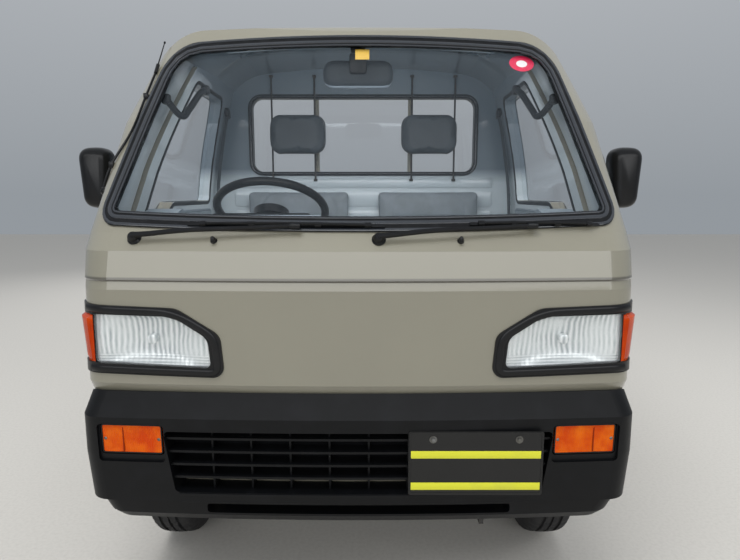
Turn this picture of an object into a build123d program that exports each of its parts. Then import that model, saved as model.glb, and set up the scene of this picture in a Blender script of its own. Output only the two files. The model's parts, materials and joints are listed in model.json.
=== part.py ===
from build123d import *
import os
from functools import cache
from math import atan2, cos, degrees, radians, sin, sqrt, tan

os.makedirs("parts", exist_ok=True)

# A small cab-over pickup with drop sides. Millimetres; the truck faces -Y, +Z is up and the floor
# under the tyres is z = 0. The driver sits on the -X side. A distance along the truck is called its
# station: it is measured back from the front of the bumper, and y_at() turns it into Y.

# Driving dimensions of the whole truck
LENGTH = 3295.0
BED_HALF = 697.5
CAB_HALF = 693.0
WHEELBASE = 1900.0
FRONT_AXLE = 580.0
TRACK = 1205.0
DECK_HEIGHT = 650.0
ROOF_HEIGHT = 1742.0
CAB_REAR = 1265.0

# Clearances
FIT = 0.3            # between fixed pieces that seat on each other along curved faces
SHUT_GAP = 5.5       # round a door, a gate or a tailgate

REAR_AXLE = FRONT_AXLE + WHEELBASE


def y_at(station):
    """Y of a place that lies this far behind the front of the bumper."""
    return station - LENGTH / 2


def front_plane(station):
    """Plane for a front view (X, Z) at a station; extruding it goes forwards."""
    return Plane.XZ.offset(-y_at(station))


def side_points(rows):
    """Corner points (station, height) of a side view, as points of the YZ plane."""
    return [(y_at(station), height) for station, height in rows]


pieces = []


def keep(builder, label):
    """Name a finished piece; the last lines of this file write each one to its own file."""
    builder.part.label = label
    pieces.append(builder)


# Cab shape: level sections from the skirt up to the roof. The front bows forward in the middle.
SKIRT = 400.0
PANEL_FOOT = 689.0
WAIST = 945.0
COWL = 1060.0
ROOF_JOINT = 1580.0
CAB_BOW = 35.0
CAB_SECTIONS = (
    # height, set-back of the front, narrowing of each side, corner radius
    (300.0, 92.0, 16.0, 60.0),
    (640.0, 44.0, 8.0, 58.0),
    (PANEL_FOOT, 22.0, 3.0, 58.0),
    (925.0, 14.2, 0.2, 94.0),
    (WAIST, 17.6, 0.0, 96.0),        # a pressed line runs round the front, just over the waist
    (949.5, 13.6, 0.0, 96.0),
    (1018.0, 26.0, 0.0, 100.0),
    (COWL, 58.0, 0.0, 100.0),
    (1350.0, 243.0, 29.0, 104.0),
    (1640.0, 432.0, 100.0, 150.0),
    (1780.0, 523.0, 120.0, 150.0),
)
# Front views of the cab above the waist, each half by its distance in from the side and its height:
# the sides lean in, turn over the roof's corner and rise to its crown
TUMBLE_MID = (25.0, 1273.0)
ROOF_SECTIONS = (
    # station, end of the side, middle of the corner, end of the corner, crown
    (-60.0, (113.0, 1562.0), (163.0, 1605.0), (242.0, 1628.0), 1636.0),
    (440.0, (113.0, 1562.0), (163.0, 1605.0), (242.0, 1628.0), 1636.0),
    (960.0, (103.0, 1600.0), (138.0, 1667.0), (213.0, 1706.0), ROOF_HEIGHT),
    (1300.0, (103.0, 1592.0), (138.0, 1655.0), (213.0, 1690.0), ROOF_HEIGHT - 22.0),
)
# Side view: the windshield turns over into the roof, which then rises under a straight line
HEADER = (402.0, 1598.0)
BROW = (431.0, 1629.0)
FOREHEAD = (486.0, 1645.0)
ROOF_LINE_END = 1830.0


def bowed_body(sections, half, bow, rear, inset):
    """Solid of level sections with a bowed front and round front corners, moved in by inset."""
    with BuildPart() as body:
        for height, front, narrowing, corner in sections:
            with BuildSketch(Plane.XY.offset(height)) as section:
                side_x = half - narrowing - inset
                corner_y = y_at(front + bow) + inset
                rear_y = y_at(rear) - inset
                with BuildLine():
                    Polyline((side_x, corner_y), (side_x, rear_y), (-side_x, rear_y), (-side_x, corner_y))
                    ThreePointArc((side_x, corner_y), (0, y_at(front) + inset), (-side_x, corner_y))
                make_face()
                fillet(section.vertices().group_by(Axis.Y)[0], max(corner - inset, 4))
        loft(ruled=True)
    return body.part


def leaning_sides(inset):
    """Solid whose front views are ROOF_SECTIONS; below the waist it is wider than the cab."""
    with BuildPart() as sides:
        for station, side_end, corner_mid, corner_end, crown in ROOF_SECTIONS:
            waist, tumble, start, mid, end = [
                (CAB_HALF - narrowing - inset, height - drop)
                for (narrowing, height), drop in (
                    ((0.0, WAIST), 0.0), (TUMBLE_MID, 0.0), (side_end, 0.0), (corner_mid, inset), (corner_end, inset))]
            with BuildSketch(front_plane(station)):
                with BuildLine():
                    ThreePointArc(waist, tumble, start)
                    ThreePointArc(start, mid, end)
                    ThreePointArc(end, (0, crown - inset), (-end[0], end[1]))
                    ThreePointArc((-end[0], end[1]), (-mid[0], mid[1]), (-start[0], start[1]))
                    ThreePointArc((-start[0], start[1]), (-tumble[0], tumble[1]), (-waist[0], waist[1]))
                    Polyline((-waist[0], waist[1]), (-CAB_HALF - 40, WAIST), (-CAB_HALF - 40, 200),
                             (CAB_HALF + 40, 200), (CAB_HALF + 40, WAIST), waist)
                make_face()
        loft(ruled=True)
    return sides.part


@cache
def cab_volume(inset):
    """The cab as a closed form, moved in from the outer skin by inset."""
    with BuildPart() as volume:
        add(bowed_body(CAB_SECTIONS, CAB_HALF, CAB_BOW, CAB_REAR, inset))
        with BuildSketch(Plane.YZ):
            with BuildLine():
                header = (y_at(HEADER[0]), HEADER[1] - inset)
                brow = (y_at(BROW[0]), BROW[1] - inset)
                forehead = (y_at(FOREHEAD[0]), FOREHEAD[1] - inset)
                ThreePointArc(header, brow, forehead)
                Polyline(forehead, (y_at(CAB_REAR + 20), ROOF_LINE_END), (y_at(CAB_REAR + 20), 200),
                         (y_at(-100), 200), (y_at(-100), header[1]), header)
            make_face()
        extrude(amount=CAB_HALF + 40, both=True, mode=Mode.INTERSECT)
        add(leaning_sides(inset), mode=Mode.INTERSECT)
    return volume.part


PANEL = 32.0          # depth of the pressed and lined cab panels
DOOR_THICK = 45.0
cab_skin = cab_volume(0)
cab_lining = cab_volume(PANEL)
door_lining = cab_volume(DOOR_THICK)

# Wheels and their arches
TYRE_RADIUS = 271.0
TYRE_WIDTH = 145.0
ARCH_RADIUS = 335.0
WHEEL_X = TRACK / 2

# Door outline, side view (station, height), clockwise from its front corner at the belt
DOOR_FRONT = 302.0
DOOR_REAR = 1128.0
DOOR_FOOT = 430.0
DOOR_TOP = 1570.0
DOOR_TOP_FRONT = 650.0
arch_at_front = TYRE_RADIUS + sqrt(ARCH_RADIUS ** 2 - (FRONT_AXLE - DOOR_FRONT) ** 2)
arch_at_foot = FRONT_AXLE + sqrt(ARCH_RADIUS ** 2 - (DOOR_FOOT - TYRE_RADIUS) ** 2)

with BuildSketch(Plane.YZ) as door_outline:
    with BuildLine():
        Polyline(*side_points([
            (DOOR_FRONT, arch_at_front), (DOOR_FRONT, COWL), (DOOR_TOP_FRONT, DOOR_TOP),
            (DOOR_REAR - 20, DOOR_TOP), (DOOR_REAR, DOOR_TOP - 150), (DOOR_REAR, DOOR_FOOT),
            (arch_at_foot, DOOR_FOOT)]))
        arch_angle = radians(60)
        ThreePointArc(
            (y_at(arch_at_foot), DOOR_FOOT),
            (y_at(FRONT_AXLE + ARCH_RADIUS * cos(arch_angle)), TYRE_RADIUS + ARCH_RADIUS * sin(arch_angle)),
            (y_at(DOOR_FRONT), arch_at_front))
    make_face()

with BuildSketch(Plane.YZ) as door_opening:
    add(door_outline.sketch_local)
    offset(amount=SHUT_GAP, kind=Kind.INTERSECTION, mode=Mode.REPLACE)

# Door window: the belt steps down towards the front
BELT_REAR = 1128.0
BELT_FRONT = 1070.0
with BuildSketch(Plane.YZ) as door_window:
    with BuildLine():
        Polyline(*side_points([
            (392, BELT_FRONT), (560, BELT_FRONT), (640, BELT_REAR), (1072, BELT_REAR),
            (1072, 1440), (1052, 1526), (702, 1526)]), close=True)
    make_face()
    fillet(door_window.vertices(), 24)

# Windshield opening, front view
SHIELD_FOOT_HALF = 656.0
SHIELD_FOOT = 1063.0
SHIELD_FOOT_CORNER = 1079.0
SHIELD_SIDE_TOP = (572.0, 1478.0)
SHIELD_CORNER_MID = (537.0, 1553.0)
SHIELD_CORNER_TOP = (460.0, 1590.0)
SHIELD_HEAD = 1606.0
SHIELD_DEPTH = 620.0
with BuildSketch(Plane.XZ) as shield_opening:
    with BuildLine():
        ThreePointArc((-SHIELD_FOOT_HALF, SHIELD_FOOT_CORNER), (0, SHIELD_FOOT),
                      (SHIELD_FOOT_HALF, SHIELD_FOOT_CORNER))
        for side in (-1, 1):
            Line((side * SHIELD_FOOT_HALF, SHIELD_FOOT_CORNER), (side * SHIELD_SIDE_TOP[0], SHIELD_SIDE_TOP[1]))
            ThreePointArc((side * SHIELD_SIDE_TOP[0], SHIELD_SIDE_TOP[1]),
                          (side * SHIELD_CORNER_MID[0], SHIELD_CORNER_MID[1]),
                          (side * SHIELD_CORNER_TOP[0], SHIELD_CORNER_TOP[1]))
        ThreePointArc((-SHIELD_CORNER_TOP[0], SHIELD_CORNER_TOP[1]), (0, SHIELD_HEAD), SHIELD_CORNER_TOP)
    make_face()
    fillet(shield_opening.vertices().group_by(Axis.Y)[0], 46)

# Lamp outlines at the -X corner of the front, front view
LAMP_OUTER = 652.0
with BuildSketch(Plane.XZ) as lamp_outline:
    with BuildLine():
        Polyline((-LAMP_OUTER, 742), (-LAMP_OUTER, 865), (-446, 861), (-364, 808), (-358, 733), close=True)
    make_face()
    for corner, radius in (((-LAMP_OUTER, 742), 8), ((-LAMP_OUTER, 865), 8), ((-446, 861), 60), ((-364, 808), 34),
                           ((-358, 733), 14)):
        fillet(lamp_outline.vertices().sort_by_distance((*corner, 0))[0], radius)

with BuildSketch(Plane.XZ) as marker_outline:
    with BuildLine():
        Polyline((-LAMP_OUTER - 5, 742), (-LAMP_OUTER - 5, 864), (-740, 864), (-740, 742), close=True)
    make_face()

BEZEL_DEPTH = 122.0
with BuildSketch(Plane.XZ) as bezel_outline:
    with BuildLine():
        Polyline((-740, 717), (-740, 891), (-438, 882), (-333, 816), (-325, 708), close=True)
    make_face()
    for corner, radius in (((-438, 882), 64), ((-333, 816), 36), ((-325, 708), 28)):
        fillet(bezel_outline.vertices().sort_by_distance((*corner, 0))[0], radius)

# Cab shell, from which the panels are cut: doors, windshield and wheel arches are open
with BuildPart() as shell:
    add(cab_skin)
    add(cab_lining, mode=Mode.SUBTRACT)
    extrude(door_opening.sketch, amount=CAB_HALF + 40, both=True, mode=Mode.SUBTRACT)
    with BuildSketch(front_plane(SHIELD_DEPTH)):
        add(shield_opening.sketch_local)
    extrude(amount=SHIELD_DEPTH + 100, mode=Mode.SUBTRACT)
    with BuildSketch(Plane.YZ):
        with Locations((y_at(FRONT_AXLE), TYRE_RADIUS)):
            Circle(ARCH_RADIUS)
    extrude(amount=CAB_HALF + 40, both=True, mode=Mode.SUBTRACT)

REAR_PANEL = CAB_REAR - PANEL
REAR_PANEL_TOP = 1650.0
SIDE_PANEL_FRONT = DOOR_FRONT - SHUT_GAP
PILLAR_FOOT = SHIELD_FOOT_CORNER + 1.0

# Door hinges: knuckles on a vertical pin line at the skin, on the front edge of each door
HINGE_X = CAB_HALF + 1.5
HINGE_RADIUS = 5.5
HINGE_NOTCH = 9.0
HINGE_HEIGHTS = (760.0, 985.0)
KNUCKLE = 26.0
KNUCKLE_REACH = 16.0

with BuildPart() as panel_knuckles:
    with Locations([(x, y_at(DOOR_FRONT), height + step * KNUCKLE)
                    for x in (-HINGE_X, HINGE_X) for height in HINGE_HEIGHTS for step in (-1, 1)]):
        Cylinder(HINGE_RADIUS, KNUCKLE - 2 * FIT)
    with Locations([(x, y_at(DOOR_FRONT - KNUCKLE_REACH / 2), height + step * KNUCKLE)
                    for x in (-CAB_HALF + 3, CAB_HALF - 3) for height in HINGE_HEIGHTS for step in (-1, 1)]):
        Box(7, KNUCKLE_REACH, KNUCKLE - 2 * FIT)

with BuildPart() as door_knuckles:
    with Locations([(x, y_at(DOOR_FRONT), height) for x in (-HINGE_X, HINGE_X) for height in HINGE_HEIGHTS]):
        Cylinder(HINGE_RADIUS, KNUCKLE)
    with Locations([(x, y_at(DOOR_FRONT + KNUCKLE_REACH / 2), height)
                    for x in (-CAB_HALF + 3, CAB_HALF - 3) for height in HINGE_HEIGHTS]):
        Box(7, KNUCKLE_REACH, KNUCKLE)

with BuildPart() as hinge_notches:
    with Locations([(x, y_at(DOOR_FRONT), height) for x in (-HINGE_X, HINGE_X) for height in HINGE_HEIGHTS]):
        Cylinder(HINGE_NOTCH, 3 * KNUCKLE + 6)

with BuildPart() as front_panel:
    add(shell.part)
    with BuildSketch(Plane.YZ):
        with BuildLine():
            Polyline(*side_points([(-20, SKIRT), (-20, PILLAR_FOOT), (SIDE_PANEL_FRONT, PILLAR_FOOT),
                                   (SIDE_PANEL_FRONT, SKIRT)]), close=True)
        make_face()
    extrude(amount=CAB_HALF + 40, both=True, mode=Mode.INTERSECT)
    with BuildSketch(front_plane(BEZEL_DEPTH)):
        add(bezel_outline.sketch_local)
        mirror(about=Plane.YZ)
    extrude(amount=BEZEL_DEPTH + 60, mode=Mode.SUBTRACT)
    add(panel_knuckles.part)
keep(front_panel, "front_panel")

# Cab sides: windscreen pillar, cant rail, rear pillar and sill of both sides
with BuildPart() as cab_sides:
    add(shell.part)
    with BuildSketch(Plane.YZ):
        with BuildLine():
            Polyline(*side_points([(-20, PILLAR_FOOT), (-20, ROOF_JOINT), (REAR_PANEL, ROOF_JOINT),
                                   (REAR_PANEL, SKIRT), (SIDE_PANEL_FRONT, SKIRT),
                                   (SIDE_PANEL_FRONT, PILLAR_FOOT)]), close=True)
        make_face()
    extrude(amount=CAB_HALF + 40, both=True, mode=Mode.INTERSECT)
keep(cab_sides, "cab_sides")

# Rear window
REAR_WINDOW_HALF = 500.0
REAR_WINDOW_FOOT = 1236.0
REAR_WINDOW_HEAD = 1582.0
REAR_WINDOW_CORNER = 60.0
SEAL_WIDTH = 17.0
with BuildSketch(Plane.XZ) as rear_opening:
    with Locations((0, (REAR_WINDOW_FOOT + REAR_WINDOW_HEAD) / 2)):
        RectangleRounded(2 * REAR_WINDOW_HALF, REAR_WINDOW_HEAD - REAR_WINDOW_FOOT, REAR_WINDOW_CORNER)
with BuildSketch(Plane.XZ) as rear_pane:
    add(rear_opening.sketch_local)
    offset(amount=-SEAL_WIDTH, mode=Mode.REPLACE)

with BuildPart() as rear_wall:
    add(shell.part)
    with BuildSketch(Plane.YZ):
        with BuildLine():
            Polyline(*side_points([(REAR_PANEL, SKIRT), (REAR_PANEL, REAR_PANEL_TOP),
                                   (CAB_REAR + 10, REAR_PANEL_TOP), (CAB_REAR + 10, SKIRT)]), close=True)
        make_face()
    extrude(amount=CAB_HALF + 40, both=True, mode=Mode.INTERSECT)
    with BuildSketch(front_plane(CAB_REAR + 10)):
        add(rear_opening.sketch_local)
    extrude(amount=PANEL + 20, mode=Mode.SUBTRACT)
keep(rear_wall, "rear_wall")

# Roof with its drip rails
RAIL_PROUD = 10.0
with BuildPart() as drip_rails:
    add(cab_volume(-RAIL_PROUD))
    add(cab_volume(6), mode=Mode.SUBTRACT)
    with BuildSketch(Plane.YZ):
        with BuildLine():
            Polyline(*side_points([(DOOR_TOP_FRONT - 60, ROOF_JOINT), (DOOR_TOP_FRONT - 60, ROOF_JOINT + RAIL_PROUD),
                                   (REAR_PANEL, ROOF_JOINT + RAIL_PROUD), (REAR_PANEL, ROOF_JOINT)]), close=True)
        make_face()
    extrude(amount=CAB_HALF + 40, both=True, mode=Mode.INTERSECT)

with BuildPart() as roof_panel:
    add(shell.part)
    with BuildSketch(Plane.YZ):
        with BuildLine():
            Polyline(*side_points([(-20, ROOF_JOINT), (-20, ROOF_HEIGHT + 20), (CAB_REAR + 10, ROOF_HEIGHT + 20),
                                   (CAB_REAR + 10, REAR_PANEL_TOP), (REAR_PANEL, REAR_PANEL_TOP),
                                   (REAR_PANEL, ROOF_JOINT)]), close=True)
        make_face()
    extrude(amount=CAB_HALF + 40, both=True, mode=Mode.INTERSECT)
    add(drip_rails.part)
keep(roof_panel, "roof_panel")

# Glass and rubber of the windshield and the rear window
SHIELD_SEAL = 36.0
SEAL_PROUD = 4.0
SEAL_BEHIND = 16.0
GLASS_SET_IN = 6.0
GLASS = 5.0
with BuildPart() as window_seals:
    add(cab_volume(-SEAL_PROUD))
    add(cab_volume(SEAL_BEHIND), mode=Mode.SUBTRACT)
    with BuildSketch(front_plane(SHIELD_DEPTH)):
        offset(shield_opening.sketch_local, amount=-FIT)
        offset(shield_opening.sketch_local, amount=-SHIELD_SEAL, mode=Mode.SUBTRACT)
    extrude(amount=SHIELD_DEPTH + 100, mode=Mode.INTERSECT)
    with BuildSketch(front_plane(CAB_REAR + SEAL_PROUD)):
        offset(rear_opening.sketch_local, amount=-FIT)
        offset(rear_opening.sketch_local, amount=-SEAL_WIDTH, mode=Mode.SUBTRACT)
    extrude(amount=PANEL + 2 * SEAL_PROUD)
keep(window_seals, "window_seals")

with BuildPart() as windshield:
    add(cab_volume(GLASS_SET_IN))
    add(cab_volume(GLASS_SET_IN + GLASS), mode=Mode.SUBTRACT)
    with BuildSketch(front_plane(SHIELD_DEPTH)):
        offset(shield_opening.sketch_local, amount=-SHIELD_SEAL - FIT)
    extrude(amount=SHIELD_DEPTH + 100, mode=Mode.INTERSECT)
keep(windshield, "windshield")

with BuildPart() as rear_window:
    with BuildSketch(front_plane(CAB_REAR - PANEL / 2 + GLASS / 2)):
        offset(rear_opening.sketch_local, amount=-SEAL_WIDTH - FIT)
    extrude(amount=GLASS)
keep(rear_window, "rear_window")

# Doors with their glass
door_pane_outer = cab_volume(16)
door_pane_inner = cab_volume(20)
with BuildPart() as door_pair:
    add(cab_skin)
    add(door_lining, mode=Mode.SUBTRACT)
    extrude(door_outline.sketch, amount=CAB_HALF + 40, both=True, mode=Mode.INTERSECT)
    extrude(door_window.sketch, amount=CAB_HALF + 40, both=True, mode=Mode.SUBTRACT)
    add(hinge_notches.part, mode=Mode.SUBTRACT)
    add(door_knuckles.part)
with BuildPart() as pane_pair:
    add(door_pane_outer)
    add(door_pane_inner, mode=Mode.SUBTRACT)
    with BuildSketch(Plane.YZ) as pane_edge:
        offset(door_window.sketch_local, amount=-FIT)
    extrude(amount=CAB_HALF + 40, both=True, mode=Mode.INTERSECT)

SIDES = (("left", 1), ("right", -1))
MIRROR_X = 818.0
MIRROR_STATION = 480.0
MIRROR_FOOT = 1111.0
MIRROR_HEAD = 1297.0
MIRROR_WIDTH = 104.0
MIRROR_DEEP = 62.0
MIRROR_STEM = 8.0
MIRROR_BASE = (350.0, 1090.0)
for name, side in SIDES:
    with BuildPart() as door:
        add(door_pair.part)
        with Locations((side * CAB_HALF, 0, ROOF_HEIGHT / 2)):
            Box(CAB_HALF, LENGTH, 2 * ROOF_HEIGHT, mode=Mode.INTERSECT)
    keep(door, f"door_{name}")
    with BuildPart() as door_glass:
        add(pane_pair.part)
        with Locations((side * CAB_HALF, 0, ROOF_HEIGHT / 2)):
            Box(CAB_HALF, LENGTH, 2 * ROOF_HEIGHT, mode=Mode.INTERSECT)
    keep(door_glass, f"door_glass_{name}")
    with BuildPart() as mirror_arm:
        with BuildSketch(Plane.XZ.offset(-y_at(MIRROR_STATION + MIRROR_DEEP / 2))) as mirror_face:
            with Locations((side * MIRROR_X, (MIRROR_FOOT + MIRROR_HEAD) / 2)):
                RectangleRounded(MIRROR_WIDTH, MIRROR_HEAD - MIRROR_FOOT, 26)
        extrude(amount=MIRROR_DEEP, taper=9)
        base = Vector(side * (CAB_HALF + 6), y_at(MIRROR_BASE[0]), MIRROR_BASE[1])
        elbow = Vector(side * (MIRROR_X - 40), y_at(MIRROR_STATION - 20), MIRROR_FOOT + 30)
        with BuildLine():
            Line(base, elbow)
        with BuildSketch(Plane(origin=base, z_dir=elbow - base)):
            Circle(MIRROR_STEM)
        sweep()
        with Locations(Plane(origin=(side * (CAB_HALF + 8), base.Y, base.Z), z_dir=(side, 0, 0))):
            Box(52, 76, 22)
        add(cab_volume(-FIT), mode=Mode.SUBTRACT)
    keep(mirror_arm, f"mirror_{name}")

# Bumper: a deep moulded apron that wraps to the wheel arches, with a grille and lamp pockets
BUMPER_TOP = 669.0
BUMPER_RIDGE = 610.0
BUMPER_FOOT = 322.0
BUMPER_REAR = 252.0
BUMPER_BOW = 27.0
BUMPER_SECTIONS = (
    # height, set-back of the front, narrowing of each side, corner radius
    (BUMPER_FOOT, 46.0, 52.0, 62.0),
    (345.0, 26.0, 40.0, 62.0),
    (380.0, 22.0, 24.0, 60.0),
    (388.0, 9.0, 7.0, 60.0),
    (512.0, 4.0, 0.0, 56.0),
    (BUMPER_RIDGE, 0.0, 3.0, 54.0),
    (BUMPER_TOP, 27.0, 18.0, 58.0),
)
BUMPER_HALF = BED_HALF
GRILLE_HEAD = 576.0
GRILLE_FOOT = 415.0
GRILLE_HEAD_HALF = 481.0
GRILLE_FOOT_HALF = 458.0
TURN_LAMP = (562.0, 552.0, 152.0, 74.0)     # centre X and Z, width and height
TURN_LAMP_SET_IN = 8.0
TURN_LAMP_SEAT = 44.0         # station of the bottom of its pocket
LOWER_SLOT = (364.0, 384.0, 26.0)           # height of its middle, half width, depth
LAMP_POCKET = (563.0, 543.0, 168.0, 98.0)   # shallow pocket round a turn lamp, as above
LAMP_POCKET_DEEP = 7.0
GRILLE_SET_IN = 11.0
SLATS = 4
SLAT_PITCH = 34.4
SLAT_TOP = 554.0
SLAT_THICK = 6.0
GRILLE_POSTS = (-366.0, -268.0, -170.0, -72.0, 26.0, 124.0, 222.0, 320.0)
POST_WIDE = 5.0
POST_SET_IN = 26.0

@cache
def bumper_volume(inset):
    """The bumper as a closed form, moved in by inset."""
    return bowed_body(BUMPER_SECTIONS, BUMPER_HALF, BUMPER_BOW, BUMPER_REAR, inset)


with BuildSketch(Plane.XZ) as grille_opening:
    with BuildLine():
        Polyline((-GRILLE_HEAD_HALF, GRILLE_HEAD), (GRILLE_HEAD_HALF, GRILLE_HEAD),
                 (GRILLE_FOOT_HALF, GRILLE_FOOT), (-GRILLE_FOOT_HALF, GRILLE_FOOT), close=True)
    make_face()
    fillet(grille_opening.vertices(), 12)

with BuildPart() as lamp_pockets:
    with BuildSketch(front_plane(BUMPER_REAR)):
        with Locations((-LAMP_POCKET[0], LAMP_POCKET[1]), (LAMP_POCKET[0], LAMP_POCKET[1])):
            RectangleRounded(LAMP_POCKET[2], LAMP_POCKET[3], 10)
    extrude(amount=BUMPER_REAR + 40)
    add(bumper_volume(LAMP_POCKET_DEEP), mode=Mode.SUBTRACT)

with BuildPart() as front_bumper:
    add(bumper_volume(0))
    add(cab_volume(-SEAL_PROUD), mode=Mode.SUBTRACT)
    with BuildSketch(front_plane(BUMPER_REAR)):
        add(grille_opening.sketch_local)
        with Locations((0, LOWER_SLOT[0])):
            RectangleRounded(2 * LOWER_SLOT[1], LOWER_SLOT[2], 8)
    extrude(amount=BUMPER_REAR + 40, mode=Mode.SUBTRACT)
    with BuildSketch(front_plane(TURN_LAMP_SEAT)):
        with Locations((-TURN_LAMP[0], TURN_LAMP[1]), (TURN_LAMP[0], TURN_LAMP[1])):
            RectangleRounded(TURN_LAMP[2] + 8, TURN_LAMP[3] + 8, 8)
    extrude(amount=70, mode=Mode.SUBTRACT)
    add(lamp_pockets.part, mode=Mode.SUBTRACT)
keep(front_bumper, "front_bumper")

with BuildPart() as grille_posts:
    add(bumper_volume(POST_SET_IN))
    add(cab_volume(-SEAL_PROUD), mode=Mode.SUBTRACT)
    with BuildSketch(front_plane(BUMPER_REAR)):
        with Locations([(x, (GRILLE_HEAD + GRILLE_FOOT) / 2) for x in GRILLE_POSTS]):
            Rectangle(POST_WIDE, GRILLE_HEAD - GRILLE_FOOT - 2 * FIT)
    extrude(amount=BUMPER_REAR + 40, mode=Mode.INTERSECT)

with BuildPart() as bumper_grille:
    add(bumper_volume(GRILLE_SET_IN))
    add(cab_volume(-SEAL_PROUD), mode=Mode.SUBTRACT)
    with BuildSketch(front_plane(BUMPER_REAR)):
        with Locations([(0, SLAT_TOP - row * SLAT_PITCH) for row in range(SLATS)]):
            Rectangle(2 * GRILLE_HEAD_HALF, SLAT_THICK)
        offset(grille_opening.sketch_local, amount=-FIT, mode=Mode.INTERSECT)
    extrude(amount=BUMPER_REAR + 40, mode=Mode.INTERSECT)
    add(grille_posts.part)
keep(bumper_grille, "bumper_grille")

# Lamps
with BuildPart() as headlamps:
    add(cab_skin)
    add(cab_lining, mode=Mode.SUBTRACT)
    with BuildSketch(front_plane(BEZEL_DEPTH)):
        offset(lamp_outline.sketch_local, amount=-FIT)
        mirror(about=Plane.YZ)
    extrude(amount=BEZEL_DEPTH + 40, mode=Mode.INTERSECT)
keep(headlamps, "headlamps")

with BuildPart() as turn_lamps:
    add(bumper_volume(TURN_LAMP_SET_IN))
    add(cab_volume(-SEAL_PROUD), mode=Mode.SUBTRACT)
    with BuildSketch(front_plane(TURN_LAMP_SEAT - FIT)):
        with Locations((-TURN_LAMP[0], TURN_LAMP[1]), (TURN_LAMP[0], TURN_LAMP[1])):
            RectangleRounded(TURN_LAMP[2], TURN_LAMP[3], 5)
    extrude(amount=70, mode=Mode.INTERSECT)

with BuildPart() as amber_lamps:
    add(cab_skin)
    add(cab_lining, mode=Mode.SUBTRACT)
    with BuildSketch(front_plane(BEZEL_DEPTH - 8)):
        offset(marker_outline.sketch_local, amount=-FIT)
        mirror(about=Plane.YZ)
    extrude(amount=BEZEL_DEPTH + 40, mode=Mode.INTERSECT)
    add(turn_lamps.part)
keep(amber_lamps, "amber_lamps")

with BuildPart() as headlamp_bezels:
    add(cab_volume(-SEAL_PROUD))
    add(cab_lining, mode=Mode.SUBTRACT)
    with BuildSketch(front_plane(BEZEL_DEPTH - FIT)):
        offset(bezel_outline.sketch_local, amount=-FIT)
        add(lamp_outline.sketch_local, mode=Mode.SUBTRACT)
        add(marker_outline.sketch_local, mode=Mode.SUBTRACT)
        mirror(about=Plane.YZ)
    extrude(amount=BEZEL_DEPTH + 40, mode=Mode.INTERSECT)
keep(headlamp_bezels, "headlamp_bezels")

# Number plate, blank, held by two bosses on the grille
PLATE_X = 288.0
PLATE_Z = 500.0
PLATE_SIZE = (330.0, 165.0)
PLATE_HOLES = 210.0
PLATE_HOLE_RADIUS = 3.5
PLATE_STATION = 2.0
with BuildPart() as number_plate:
    with BuildSketch(front_plane(PLATE_STATION)):
        with Locations((PLATE_X, PLATE_Z)):
            RectangleRounded(*PLATE_SIZE, 6)
    extrude(amount=2)
    with BuildSketch(front_plane(PLATE_STATION)):
        with Locations((PLATE_X, PLATE_Z + 62)):
            with GridLocations(PLATE_HOLES, 1, 2, 1):
                Rectangle(26, 22)
    extrude(amount=-40)
    add(bumper_volume(GRILLE_SET_IN - FIT), mode=Mode.SUBTRACT)
    with Locations(Plane(origin=(PLATE_X, y_at(PLATE_STATION), PLATE_Z + 62), z_dir=(0, -1, 0), x_dir=(1, 0, 0))):
        with GridLocations(PLATE_HOLES, 1, 2, 1):
            Hole(PLATE_HOLE_RADIUS, 60)
keep(number_plate, "number_plate")

# Wipers parked along the foot of the windshield: pivot (x, z), tip of the arm, ends of the blade
WIPERS = (
    ((-543.0, 1046.0), (-150.0, 1070.0), (-415.0, 1078.0), (65.0, 1074.0)),
    ((50.0, 1045.0), (420.0, 1070.0), (271.0, 1079.0), (591.0, 1076.0)),
)
with BuildPart() as wipers:
    add(cab_volume(-20))
    add(cab_volume(-SEAL_PROUD - FIT), mode=Mode.SUBTRACT)
    with BuildSketch(front_plane(SHIELD_DEPTH)):
        for pivot, arm_tip, blade_start, blade_end in WIPERS:
            with Locations(pivot):
                Circle(15)
            for start, end, width in ((pivot, arm_tip, 14), (blade_start, blade_end, 9)):
                run = Vector(*end) - Vector(*start)
                tilt = degrees(atan2(run.Y, run.X))
                with Locations(Location(((start[0] + end[0]) / 2, (start[1] + end[1]) / 2, 0), (0, 0, tilt))):
                    SlotOverall(run.length + width, width)
    extrude(amount=SHIELD_DEPTH + 100, mode=Mode.INTERSECT)
keep(wipers, "wipers")

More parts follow.
